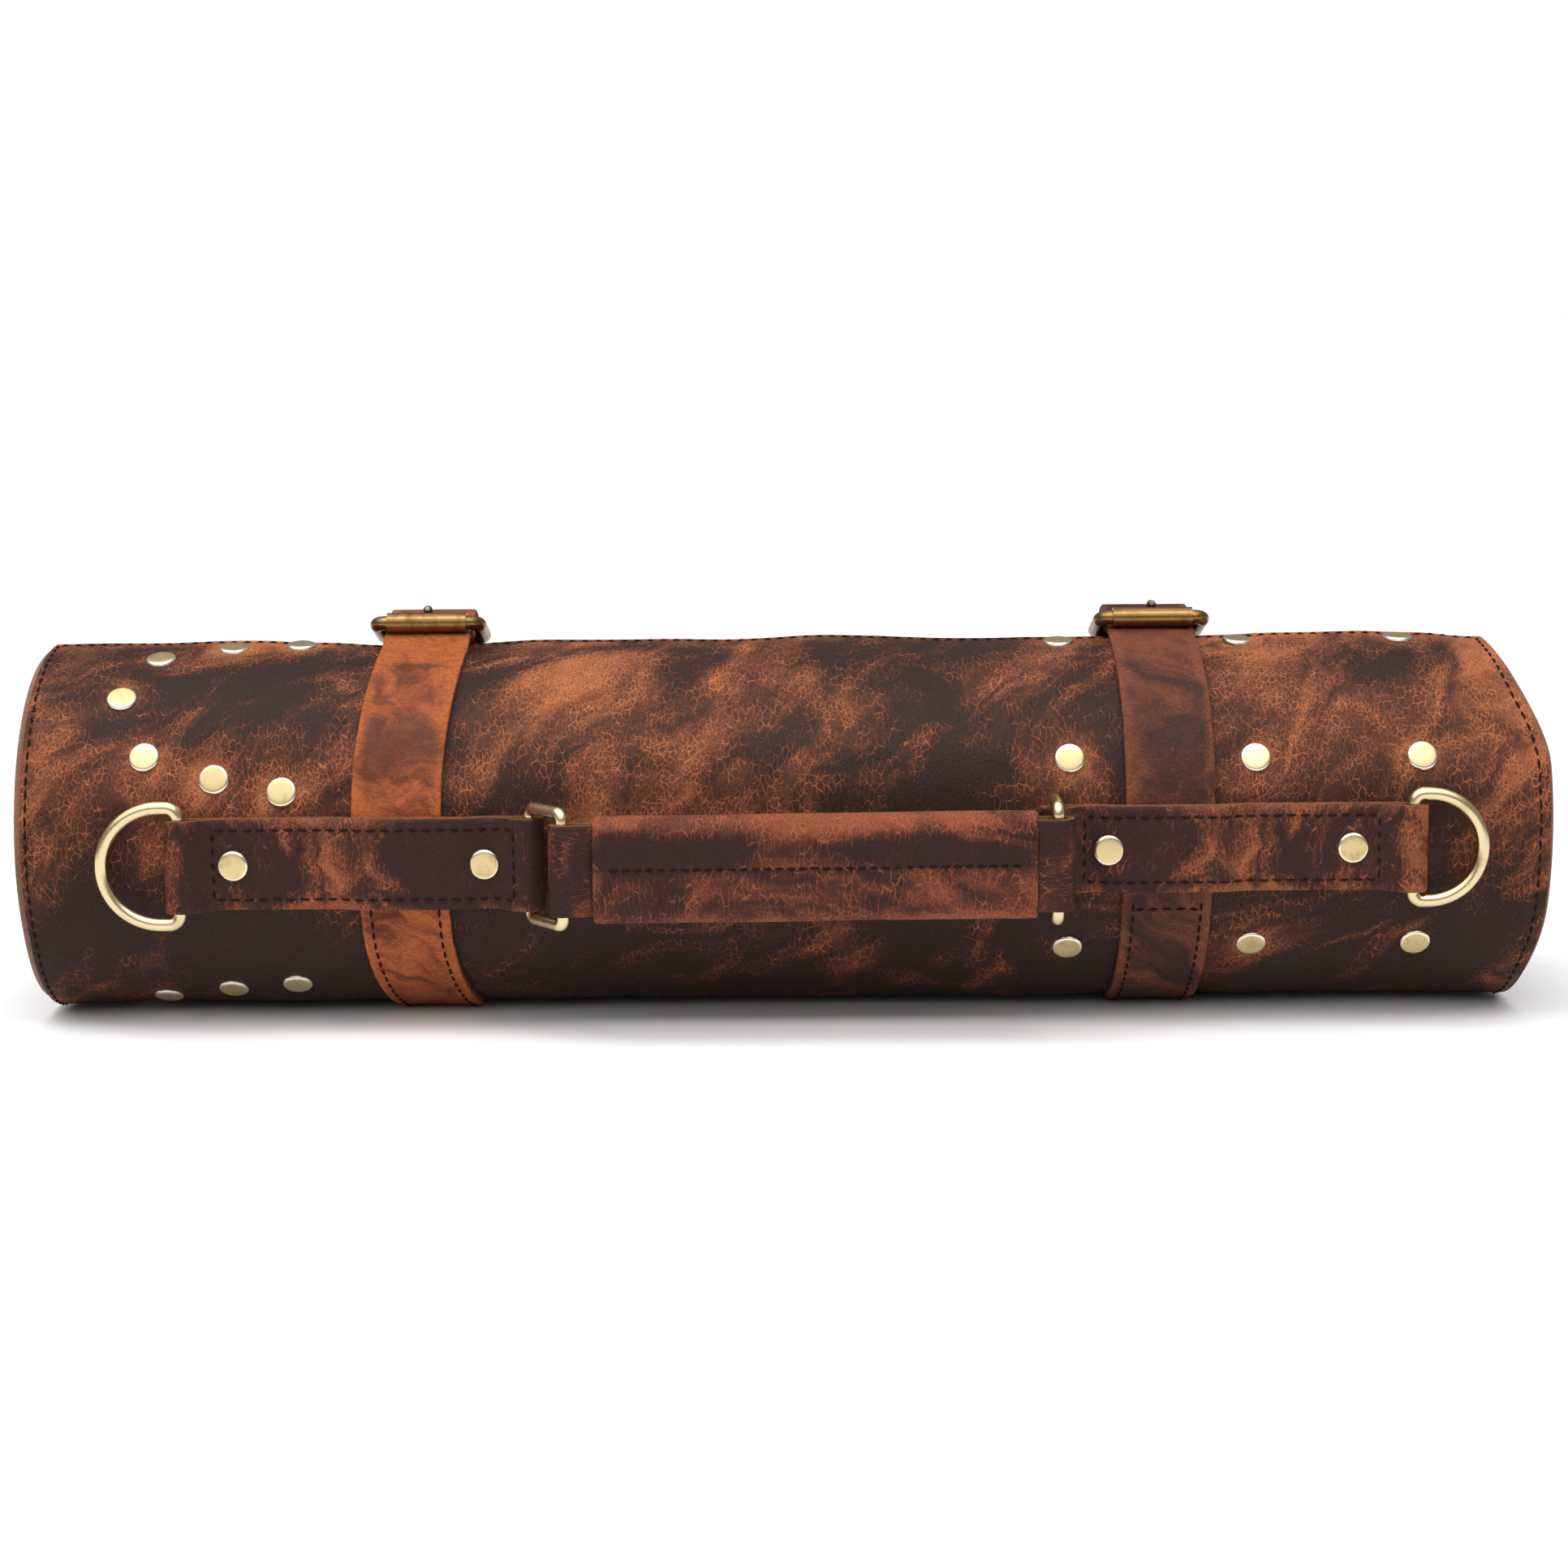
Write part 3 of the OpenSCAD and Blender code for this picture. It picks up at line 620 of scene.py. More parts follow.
def cut_edge(name, dark, light, seed):
    """A raw cut leather edge: pale fibre, darker where it has been burnished."""
    p = Paint(name, (seed, seed, 0))
    seat = p.seat
    fibre = p.noise(seat, 900.0, 5.0, 0.7, 0.6)
    stain = p.noise(seat, 90.0, 3.0, 0.6)
    colour = p.mix(p.ramp(fibre, 0.35, 0.65), dark, light)
    colour = p.mix(p.ramp(stain, 0.45, 0.7, 0.0, 0.6), colour, dark)
    normal = p.bump(fibre, 0.7, 0.0004)
    return p.finish(colour, 0.85, normal, Specular_IOR_Level=0.2)


def suede(name, dark, light, seed):
    """Suede: a fine nap, brushed and soiled in soft clouds."""
    p = Paint(name, (seed, 0, seed))
    seat = p.seat
    nap = p.noise(seat, 1300.0, 4.0, 0.75, 0.3)
    cloud = p.noise(seat, 30.0, 4.0, 0.6, 0.4)
    brushed = p.noise(p.mapped(scale=(1, 3, 3), move=(seed, 1, 0)), 45.0, 3.0, 0.6)
    colour = p.mix(p.ramp(nap, 0.3, 0.7), dark, light)
    colour = p.mix(p.ramp(cloud, 0.4, 0.65, 0.0, 0.45), colour, dark)
    colour = p.mix(p.ramp(brushed, 0.5, 0.7, 0.0, 0.25), colour, light)
    normal = p.bump(nap, 0.5, 0.0004)
    return p.finish(colour, 0.93, normal, Specular_IOR_Level=0.15, Sheen_Weight=0.35,
                    Sheen_Roughness=0.6)


def old_brass(name, bright, dull, dark, tarnish, rough, seed):
    """Antique brass: bright where it is rubbed, brown in the hollows, with fine scratches."""
    p = Paint(name, (seed, seed, seed))
    seat = p.seat
    cloud = p.noise(seat, 120.0, 5.0, 0.65, 0.5)
    fine = p.noise(seat, 900.0, 4.0, 0.7)
    pits = p.cells(seat, 1400.0, dimensions="3D")
    scratch = p.noise(p.mapped(scale=(1, 14, 9), turn=(20, 35, 15), move=(seed, 2, 3)), 420.0, 3.0, 0.8)
    colour = p.mix(p.ramp(cloud, tarnish, tarnish + 0.2), bright, dull)
    colour = p.mix(p.ramp(fine, 0.58, 0.78, 0.0, 0.3), colour, dark)
    colour = p.mix(p.ramp(pits, 0.1, 0.0, 0.0, 0.3), colour, dark)
    gloss = p.math("MULTIPLY_ADD", cloud, 0.2, rough - 0.08)
    gloss = p.math("MULTIPLY_ADD", p.ramp(scratch, 0.5, 0.75), 0.14, gloss)
    normal = p.bump(scratch, 0.03, 0.0001)
    normal = p.bump(fine, 0.03, 0.0001, normal)
    return p.finish(colour, gloss, normal, Metallic=1.0)


def thread_paint():
    """Dark waxed thread with the twist of its plies."""
    p = Paint("thread")
    ply = p.node("TexWave", {"Vector": p.seat, "Scale": 900.0, "Distortion": 1.5}, wave_type="BANDS",
                 bands_direction="DIAGONAL")
    fuzz = p.noise(p.seat, 2500.0, 3.0, 0.7)
    colour = p.mix(p.ramp(fuzz, 0.35, 0.7), (0.008, 0.0036, 0.0028), (0.030, 0.0115, 0.008))
    normal = p.bump(ply.outputs["Fac"], 0.4, 0.0002)
    return p.finish(colour, 0.8, normal, Specular_IOR_Level=0.1)


PANEL = pull_up("panel_leather", (0.021, 0.0098, 0.0072), (0.105, 0.034, 0.018), (0.50, 0.165, 0.062),
                (0.32, 0.086, 0.033), 0.465, 3.0, patch=11.0, spread_of_wear=0.25, creased=0.85)
TAN = pull_up("tan_strap_leather", (0.092, 0.025, 0.012), (0.31, 0.075, 0.024), (0.56, 0.155, 0.036),
              (0.42, 0.11, 0.026), 0.42, 8.0, patch=20.0, spread_of_wear=0.22, streak_turn=75,
              across=True, creased=0.35, gloss=0.12, grain=0.4)
DARK = pull_up("dark_strap_leather", (0.030, 0.0135, 0.0105), (0.100, 0.033, 0.020), (0.28, 0.085, 0.035),
               (0.21, 0.057, 0.026), 0.46, 15.0, patch=16.0, across=True, creased=0.5,
               grain=0.3)
BASE = pull_up("base_strap_leather", (0.028, 0.0115, 0.0095), (0.082, 0.026, 0.016), (0.38, 0.115, 0.048),
               (0.28, 0.078, 0.034), 0.525, 22.0, patch=20.0, across=True, draw=0.2,
               streak_turn=100, creased=0.75)
GRIP = pull_up("grip_leather", (0.026, 0.0115, 0.0095), (0.115, 0.031, 0.019), (0.36, 0.105, 0.044),
               (0.28, 0.076, 0.033), 0.475, 31.0, patch=14.0, spread_of_wear=0.26, draw=0.22,
               streak_turn=84, creased=0.75)
EDGE = cut_edge("cut_edge", (0.070, 0.024, 0.012), (0.30, 0.115, 0.048), 2.0)
DARK_EDGE = cut_edge("dark_cut_edge", (0.022, 0.010, 0.007), (0.15, 0.050, 0.022), 4.0)
SUEDE = suede("lining_suede", (0.10, 0.038, 0.018), (0.27, 0.115, 0.052), 5.0)
FLESH = suede("leather_back", (0.10, 0.042, 0.022), (0.24, 0.11, 0.055), 9.0)
POCKETS = pull_up("pocket_leather", (0.045, 0.020, 0.012), (0.12, 0.042, 0.022), (0.25, 0.085, 0.035),
                  (0.27, 0.10, 0.05), 0.52, 41.0, patch=18.0)
CAP_BRASS = old_brass("rivet_brass", (0.64, 0.50, 0.26), (0.48, 0.35, 0.17), (0.22, 0.15, 0.08),
                      0.50, 0.30, 1.0)
# paler, brighter brass for the rivets' rims and washers: a painted highlight standing for the rims'
# reflection
PAINTED_HIGHLIGHT_BRASS = old_brass("rivet_rim_painted_highlight", (0.82, 0.75, 0.60), (0.66, 0.56, 0.38), (0.30, 0.22, 0.13),
                      0.54, 0.20, 2.0)
RING_BRASS = old_brass("ring_brass", (0.70, 0.57, 0.34), (0.54, 0.41, 0.22), (0.24, 0.16, 0.08),
                       0.54, 0.20, 6.0)
BUCKLE_BRASS = old_brass("buckle_brass", (0.25, 0.146, 0.052), (0.155, 0.086, 0.032),
                         (0.045, 0.025, 0.014), 0.45, 0.27, 11.0)
PRONG_METAL = old_brass("prong_metal", (0.20, 0.14, 0.08), (0.07, 0.05, 0.035), (0.02, 0.015, 0.012),
                        0.40, 0.34, 13.0)
THREAD = thread_paint()
FILLER = suede("grip_filler", (0.32, 0.28, 0.23), (0.55, 0.5, 0.43), 12.0)
# the two closures: which side, where along the roll, their leather and its name
SIDES = (("Left", LEFT_X, TAN, "tan_strap_leather"), ("Right", RIGHT_X, DARK, "dark_strap_leather"))

# --- the wound sheet -----------------------------------------------------------------------
# stations in degrees back from the free edge, closer at its rounded border and where it shows
BACKS = [0.0, 0.25, 0.7, *range(2, 392, 2), *range(392, 848, 4), WOUND]


def sheet_point(x, angle, offset):
    spot = place(x, angle, skin(angle, offset) + relief(x, angle))
    spot.x += end_pull(x, spot.z - AXIS_Z)
    return spot


def panel_wear_and_shade(back, x):
    """Paler round the rivets and along the panel's edges, with painted shade down the front toward the
    floor.
    """
    angle = EDGE_ANGLE - back
    end = LENGTH / 2 - abs(x)
    wear_and_shade = 0.05 * math.exp(-(end / (10 * MM)) ** 2) + 0.09 * math.exp(-(back / 7) ** 2)
    for rx, ra in POCKET_RIVETS:
        wear_and_shade += 0.11 * dimple(x, (angle - ra) * DEGREE_LONG, rx, 7.5 * MM)
    # painted light and shade: a little paler over the top, painted darker down the front and darkest
    # toward the floor
    wear_and_shade += 0.03 - 0.05 * smooth((48 - angle) / 45) - 0.06 * smooth((5 - angle) / 40)
    aside = 0.05 * smooth((x - 40 * MM) / (120 * MM)) - 0.04 * smooth((-x - 60 * MM) / (60 * MM))
    return wear_and_shade + aside * smooth((angle - 15) / 30)


def layer(name, node, low_x, high_x, top, bottom, step, materials, slot_name, first=0.0, wear_and_shade=None):
    """One layer of the sheet between two offsets from the outer face."""
    backs = [b for b in BACKS if b >= first]
    if backs[0] > first:
        backs.insert(0, first)
    xs = spread(low_x, high_x, step)

    def surface(back, x, side):
        drop = rim(x, low_x, high_x) + rim((back - first) * MM * 1.07, 0, math.inf)
        return sheet_point(x, EDGE_ANGLE - back, top - drop if side > 0 else bottom)

    along = [b * math.radians(1) * 58.5 * MM for b in backs]
    piece = slab(name, backs, xs, surface, materials, along=along, wear_and_shade=wear_and_shade)
    hand_in(piece, "roll", node, slot_name)
    sheet_length(first)


def sheet_length(first):
    """Flat length of a layer that begins some degrees back from the free edge."""
    steps = [first + (WOUND - first) * i / 400 for i in range(401)]
    spots = [place(0, EDGE_ANGLE - b, skin(EDGE_ANGLE - b, -OUTER)) for b in steps]
    return sum((b - a).length for a, b in zip(spots, spots[1:]))


layer("Outer_panel", "outer_panel", -LENGTH / 2 + 2.2 * MM, LENGTH / 2 - 0.8 * MM, 0.0, -OUTER,
      3.2 * MM, [PANEL, FLESH, DARK_EDGE], "panel_leather", wear_and_shade=panel_wear_and_shade)
layer("Suede_lining", "lining_panel", -LENGTH / 2, LENGTH / 2 + 0.4 * MM, -OUTER, -OUTER - LINING,
      9 * MM, [SUEDE, SUEDE, EDGE], "lining_leather")
layer("Pocket_panel", "pocket_panel", -212 * MM, 205 * MM, -OUTER - LINING, -OUTER - LINING - POCKET,
      9 * MM, [FLESH, POCKETS, EDGE], "pocket_leather", first=4.5)


def on_panel(x, angle):
    """A point on the outer face, and the way out of it."""
    return sheet_point(x, angle, 0), outward(angle)


seams = bmesh.new()
INSET = 4.0 * MM
for end in (-1, 1):
    at_x = end * (LENGTH / 2 - INSET)
    sew(seams, on_panel, (at_x, EDGE_ANGLE - 4), (at_x, EDGE_ANGLE - 356), 176)
edge_angle = EDGE_ANGLE - math.degrees(INSET / EDGE_R)
sew(seams, on_panel, (-LENGTH / 2 + INSET, edge_angle), (LENGTH / 2 - INSET, edge_angle), 120)

# --- rivets --------------------------------------------------------------------------------
CAP_FACE = [(0.0, 1.46), (2.0, 1.45), (3.7, 1.40), (4.05, 1.33)]
CAP_RIM = [(4.05, 1.33), (4.4, 1.18), (4.68, 0.9), (4.83, 0.5), (4.8, 0.15), (4.6, 0.0), (1.4, 0.0)]


def rivet(bm, point, normal, grip):
    """A capped rivet through the layers: a nearly flat cap with a rounded rim, and its washer."""
    lean = Vector((dice.uniform(-0.05, 0.05), dice.uniform(-0.03, 0.03), dice.uniform(-0.05, 0.05)))
    out = (normal + lean).normalized()
    depth = grip / MM
    washer = [(1.4, 0.0), (1.4, -depth), (3.8, -depth), (3.9, -depth - 0.4), (3.4, -depth - 0.8),
              (0.0, -depth - 0.8)]
    # the caps' rims and the washers take the brass with the painted highlight
    for part, slot in ((CAP_FACE, 0), (CAP_RIM, 1), (washer, 1)):
        lathe(bm, point, out, [(r * MM, h * MM) for r, h in part], slot=slot)
    bmesh.ops.remove_doubles(bm, verts=bm.verts, dist=0.001 * MM)


def rivets(name, places, sunk, grip):
    """A group of rivets at (point, normal) pairs, sunk a little into the leather."""
    bm = bmesh.new()
    for point, normal in places:
        rivet(bm, point - normal * sunk, normal, grip)
    hand_in(new_object(name, bm, [CAP_BRASS, PAINTED_HIGHLIGHT_BRASS], 30), "roll", name.lower(), "rivet_metal")


SHEETS = OUTER + LINING + POCKET
rivets("Pocket_rivets", [on_panel(*spot) for spot in POCKET_RIVETS], 0.12 * MM, SHEETS)

# --- handle base straps --------------------------------------------------------------------
FRONT_R = skin(0, 0)
LOW = FRONT_R + 0.45 * MM
SEW_GAP = 0.04 * MM


def base_height(x, over):
    """Height of a base strap's underside over the roll's axis, stepping over the closure strap."""
    d = abs(x - over) - STRAP_W / 2 - 1 * MM
    return LOW + STRAP * smooth(1 - d / (10 * MM))


def to_bar(x, d_x, ring_x):
    """Distance to the nearer of a base strap's two bars."""
    return min(abs(x - d_x), abs(x - ring_x))


def base_path(d_x, ring_x, over):
    """Centre line of the strap's closed band as (x, height), and its outward side."""
    side = 1 if d_x > 0 else -1
    path = []
    loop = 2.1 * MM + 0.1 * MM + STRAP / 2

    def run(x0, x1, upper, count):
        for i in range(count + 1):
            x = x0 + (x1 - x0) * i / count
            h = base_height(x, over) + (1.5 * STRAP + SEW_GAP if upper else 0.5 * STRAP)
            share = smooth((to_bar(x, d_x, ring_x) - 1.5 * MM) / (10 * MM))
            ends = BAR_R + (loop if upper else -loop)
            path.append((x, ends + (h - ends) * share, 0, 1 if upper else -1))

    run(ring_x, d_x, True, 56)
    arc(path, d_x, BAR_R, loop, 80, -80, 9, side)
    run(d_x, ring_x, False, 40)
    arc(path, ring_x, BAR_R, loop, 260, 100, 9, side)
    return path


def base_point(x, height, width, base_z, d_x, ring_x):
    """Wraps the strap's width round the roll between its loops; a bar holds each loop straight."""
    inside = (x - d_x) * (x - ring_x) < 0
    curve = smooth((to_bar(x, d_x, ring_x) - 2 * MM) / (16 * MM)) if inside else 0.0
    flat = Vector((x, AXIS_Y - height, AXIS_Z + base_z + width))
    if curve == 0:
        return flat
    turn = math.degrees((base_z + width) / height)
    bent = Vector((x, AXIS_Y - height * cosd(turn), AXIS_Z + height * sind(turn)))
    return flat.lerp(bent, curve)


def base_strap(side, d_x, ring_x, over, base_z, wide):
    """A doubled strap in one closed band, sewn together between its two bars."""
    path = base_path(d_x, ring_x, over)
    # the band's start, where its pattern doesn't meet, lies against the roll
    path = path[86:] + path[:86]
    widths = spread(-wide / 2, wide / 2, 1.8 * MM)

    def swell(x, width):
        height = noise.noise(Vector((x * 45, width * 60, base_z * 900))) * 0.25
        for rx, _ in BASE_RIVETS:
            height -= 0.3 * dimple(x, width, rx, 6.5 * MM)
        return height * MM

    def at(i, width, out):
        x, h, nx, nh = path[i]
        reach = out * STRAP / 2
        if out > 0:
            reach += (swell(x, width) if nh > 0.9 else 0.0) - rim(width, -wide / 2, wide / 2, 0.35 * MM)
        return base_point(x + nx * reach, h + nh * reach, width, base_z, d_x, ring_x)

    def wear_and_shade(i, width):
        x = path[i][0]
        rub = 0.03 * bump_at(to_bar(x, d_x, ring_x), 0, 5 * MM)
        rub += 0.08 * bump_at(abs(width), wide / 2, 2.5 * MM)
        for rx, _ in BASE_RIVETS:
            rub += 0.05 * dimple(x, width, rx, 7 * MM)
        return rub + (0.07 * bump_at(x, -141 * MM, 14 * MM) - 0.022 if x < 0 else 0.025)

    piece = slab(side + "_base_strap", range(len(path)), widths, at, [BASE, FLESH, EDGE], closed=True,
                 wear_and_shade=wear_and_shade)
    hand_in(piece, "roll", side.lower() + "_base_strap", "dark_strap_leather")

    def top(x, width):
        h = base_height(x, over) + 1.5 * STRAP + SEW_GAP
        ends = BAR_R + 2.2 * MM + STRAP / 2
        h = ends + (h - ends) * smooth((to_bar(x, d_x, ring_x) - 1.5 * MM) / (10 * MM))
        h += STRAP / 2 + swell(x, width)
        return base_point(x, h, width, base_z, d_x, ring_x), outward(math.degrees((base_z + width) / h))

    way = 1 if d_x > 0 else -1
    far = d_x - way * 10.5 * MM
    near = ring_x + way * (5.0 if way < 0 else 9.5) * MM
    w = wide / 2 - 3.4 * MM
    sew_round(seams, top, [((near, w), 40), ((far, w), 8), ((far, -w), 40), ((near, -w), 8)])
    return [top(rx, 0.0) for rx, _ in BASE_RIVETS if rx * way > 0]


left_spots = base_strap("Left", LEFT_D, LEFT_RING, LEFT_X, LEFT_BASE_Z, LEFT_BASE_W)
right_spots = base_strap("Right", RIGHT_D, RIGHT_RING, RIGHT_X, RIGHT_BASE_Z, RIGHT_BASE_W)
rivets("Base_strap_rivets", left_spots + right_spots, 0.1 * MM, 2 * STRAP + SHEETS + 0.45 * MM)

# --- closure straps ------------------------------------------------------------------------


def prong_slot(x0):
    """The space a prong sweeps between lying on its roller and lifted off it, with some room."""
    bar = place(0, REAR_ANGLE, REAR_R)
    forward = place(0, ROLLER_ANGLE, ROLLER_R) - bar
    reach = forward.length
    forward.normalize()
    up = Vector((0, forward.z, -forward.y))
    rise = math.degrees(math.asin((ROLLER_RADIUS + PRONG_RADIUS + LIE) / reach))
    half = PRONG_RADIUS + 0.45 * MM
    outline = []
    for end, first in ((4.5 * MM, 90), (reach + 4 * MM, -90)):
        for k in range(9):
            turn = first + 22.5 * k
            outline.append((end + half * cosd(turn), x0 + half * sind(turn)))
    tool = bmesh.new()
    rings = []
    for side, lift in ((-1, 0), (1, PRONG_LIFT)):
        way = forward * cosd(rise + lift) + up * sind(rise + lift)
        out = up * cosd(rise + lift) - forward * sind(rise + lift)
        rings.append([tool.verts.new(bar + way * along + out * (side * half) + Vector((x, 0, 0)))
                      for along, x in outline])
    join_rings(tool, rings)
    return tool


def punch(piece, tools):
    """Cuts the solids in tools out of a piece, for good."""
    cutters = [new_object("punch", tool, [EDGE]) for tool in tools]
    for cutter in cutters:
        cut = piece.modifiers.new("hole", "BOOLEAN")
        cut.operation = "DIFFERENCE"
        cut.solver = "EXACT"
        cut.object = cutter
    bpy.context.view_layer.update()
    shaped = bpy.data.meshes.new_from_object(piece.evaluated_get(bpy.context.evaluated_depsgraph_get()))
    piece.modifiers.clear()
    piece.data = shaped
    for cutter in cutters:
        bpy.data.objects.remove(cutter)


def closure_strap(side, x0, material, slot_name):
    """A strap from under the roll over its top, through the buckle and the keeper."""
    angles = [STRAP_START, STRAP_START + 0.25, STRAP_START + 0.7]
    angles += range(-110, 70, 2)
    angles += [70 + 1.25 * i for i in range(83)]
    angles += [STRAP_TIP - 0.5, STRAP_TIP]
    widths = spread(-STRAP_W / 2, STRAP_W / 2, 2.0 * MM)
    ragged = 9.0 if side == "Left" else 17.0

    def half_width(angle):
        """The tail narrows to a rounded end."""
        left = (STRAP_TIP - angle) * math.radians(1) * 58 * MM
        if left > 9 * MM:
            return 1.0
        t = 1 - left / (9 * MM)
        return math.sqrt(max(0.0, 1 - (0.86 * t) ** 2))

    def spot(angle, width, out):
        w = width * half_width(angle)
        # cut edges wander a little
        w += noise.noise(Vector((angle * 0.35, ragged, math.copysign(1, width)))) * 0.22 * MM \
            * abs(width) / (STRAP_W / 2)
        x = x0 + w + strap_lean(side, angle)
        r = closure_under(angle, x)
        if out > 0:
            dip = noise.noise(Vector((angle * 0.09, width * 90, ragged))) * 0.12 * MM
            r += STRAP + dip * 0.6 - rim(width, -STRAP_W / 2, STRAP_W / 2, 0.4 * MM)
        return place(x, angle, r)

    def wear_and_shade(angle, width):
        return 0.09 * bump_at(abs(width), STRAP_W / 2, 2.2 * MM) + 0.05 * bump_at(angle, 72, 14)

    piece = slab(side + "_closure_strap", angles, widths, spot, [material, FLESH, EDGE], wear_and_shade=wear_and_shade)
    # the prong's hole and two spare ones in the tail; then the prong's is worn long
    holes = bmesh.new()
    for angle, radius in ((93.5, 2.3), (133.75, 2.0), (153.25, 2.0)):
        lathe(holes, place(x0, angle, 52 * MM), outward(angle),
              [(0, 0), (radius * MM, 0), (radius * MM, 24 * MM), (0, 24 * MM)], 20)
    punch(piece, [holes, prong_slot(x0)])
    hand_in(piece, "roll", side.lower() + "_closure_strap", slot_name)

    def top(w, angle):
        x = x0 + w + strap_lean(side, angle)
        return place(x, angle, closure_under(angle, x) + STRAP), outward(angle)

    w = STRAP_W / 2 - 3.2 * MM
    low = STRAP_START + 4
    for edge_w in (-w, w):
        sew(seams, top, (edge_w, low), (edge_w, -16), 40)
    sew(seams, top, (-w, low), (w, low), 6)
    if side == "Right":
        sew(seams, top, (-w, -18.5), (w, -18.5), 6)


for strap_side in SIDES:
    closure_strap(*strap_side)

# --- buckle straps, folded round the rear bars ---------------------------------------------


def buckle_strap(side, x0, material, slot_name):
    """One strip: the short folded layer, round the bar, then down the back."""
    end = 246
    path = []
    for i in range(15):
        a = FOLD_END - (FOLD_END - REAR_ANGLE) * i / 14
        path.append(place(0, a, buckle_top(a) - THIN / 2))
    bar = place(0, REAR_ANGLE, REAR_R)
    out = outward(REAR_ANGLE)
    back = Vector((0, out.z, -out.y))
    for i in range(1, 14):
        a = 90 + 180 * i / 14
        path.append(bar + (out * sind(a) + back * cosd(a)) * (EYE - THIN / 2))
    for i in range(75):
        a = REAR_ANGLE + (end - REAR_ANGLE) * i / 74
        path.append(place(0, a, buckle_under(a) + THIN / 2))
    normals = []
    for i in range(len(path)):
        t = path[min(i + 1, len(path) - 1)] - path[max(i - 1, 0)]
        normals.append(Vector((0, t.z, -t.y)).normalized())
    # the folded layer's outer face looks up, so the strip's outer side is the grain side
    flip = 1 if normals[0].dot(outward(FOLD_END)) > 0 else -1
    half = STRAP_W / 2 - 0.2 * MM
    slot_half = 2.4 * MM
    widths = sorted(spread(-half, half, 2.3 * MM) + [-slot_half, slot_half])

    def keep(i, w):
        """Leaves the prong's slot out of the fold round the bar."""
        return not (9 <= i < 31 and -slot_half <= w < slot_half)

    def at(i, w, side_out):
        grain = side_out * flip
        drop = rim(w, -half, half, 0.3 * MM) if grain > 0 else 0
        p = path[i] + normals[i] * (grain * THIN / 2 - drop)
        return Vector((x0 + w, p.y, p.z))

    piece = slab(side + "_buckle_strap", range(len(path)), widths, at, [material, material, EDGE],
                 keep=keep)
    hand_in(piece, "roll", side.lower() + "_buckle_strap", slot_name)

    def top(w, angle):
        return place(x0 + w, angle, buckle_under(angle) + THIN), outward(angle)

    w = half - 3 * MM
    first, last = 172, end - 4
    for edge_w in (-w, w):
        sew(seams, top, (edge_w, first), (edge_w, last), 34)
    for a in (last, first):
        sew(seams, top, (-w, a), (w, a), 6)


for strap_side in SIDES:
    buckle_strap(*strap_side)
rivets("Buckle_strap_rivets", [(place(x, 186, back_skin(186, THIN + 0.07 * MM)), outward(186))
                               for x in (LEFT_X, RIGHT_X)], 0.0, THIN + SHEETS)

# --- keepers -------------------------------------------------------------------------------


def keeper(side, x0, material, slot_name):
    """A closed loop of strap round the tail, a little fuller at its corners than a plain frame."""
    low = back_skin(KEEPER_HIGH, LIE) + THIN / 2
    high = closure_under(137, x0) + STRAP + 0.35 * MM + THIN / 2
    half = STRAP_W / 2 + 0.35 * MM + THIN / 2
    round_r = 1.5 * MM
    corners = []
    for cx, cr, first in ((1, 1, 90), (1, -1, 0), (-1, -1, -90), (-1, 1, -180)):
        arc(corners, cx * (half - round_r), (low + high) / 2 + cr * ((high - low) / 2 - round_r),
            round_r, first, first - 90, 5)
    path = []
    for a, b in zip(corners, corners[1:] + corners[:1]):
        parts = max(1, round(math.hypot(b[0] - a[0], b[1] - a[1]) / (2.5 * MM)))
        for k in range(parts):
            path.append([p + (q - p) * k / parts for p, q in zip(a, b)])
    angles = [KEEPER_LOW, KEEPER_LOW + 0.2, KEEPER_LOW + 0.7, 136, 139, 142, KEEPER_HIGH - 0.7,
              KEEPER_HIGH - 0.2, KEEPER_HIGH]

    def at(i, angle, out):
        x, r, nx, nr = path[i]
        size = math.hypot(nx, nr) or 1
        drop = rim((angle - KEEPER_LOW) * MM, 0, 10 * MM, 0.3 * MM) if out > 0 else 0
        reach = (out * THIN / 2 - drop) / size
        return place(x0 + x + nx * reach, angle, r + nr * reach)

    piece = slab(side + "_keeper", range(len(path)), angles, at, [material, FLESH, EDGE], closed=True)
    hand_in(piece, "roll", side.lower() + "_keeper", slot_name)


for strap_side in SIDES:
    keeper(*strap_side)

piece = new_object("Roll_stitches", seams, [THREAD], 60)
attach(piece, "roll")

# --- handle --------------------------------------------------------------------------------
LEAN = 51.0
NEAR_LEFT = Vector((LEFT_RING + RING_REACH * cosd(LEAN), -BAR_R - RING_REACH * sind(LEAN)))
NEAR_RIGHT = Vector((RIGHT_RING, -BAR_R - RING_REACH))
SPAN = (NEAR_RIGHT - NEAR_LEFT).length
HANDLE_X = (NEAR_RIGHT - NEAR_LEFT).normalized()
HANDLE_OUT = Vector((HANDLE_X.y, -HANDLE_X.x))
GRIP_L = 134 * MM
GRIP_START = (SPAN + 3.2 * MM - GRIP_L) / 2
GRIP_H, GRIP_D = 33 * MM, 11 * MM
WRAP = 2.0 * MM


def in_handle(u, out, z):
    """u along the handle from the left ring, out toward the hand, z up from its middle."""
    flat = NEAR_LEFT + HANDLE_X * u + HANDLE_OUT * out
    tilt = (u - SPAN / 2) * 0.010
    return Vector((flat.x, AXIS_Y + flat.y, AXIS_Z + HANDLE_Z + z + tilt))


handle_seams = bmesh.new()


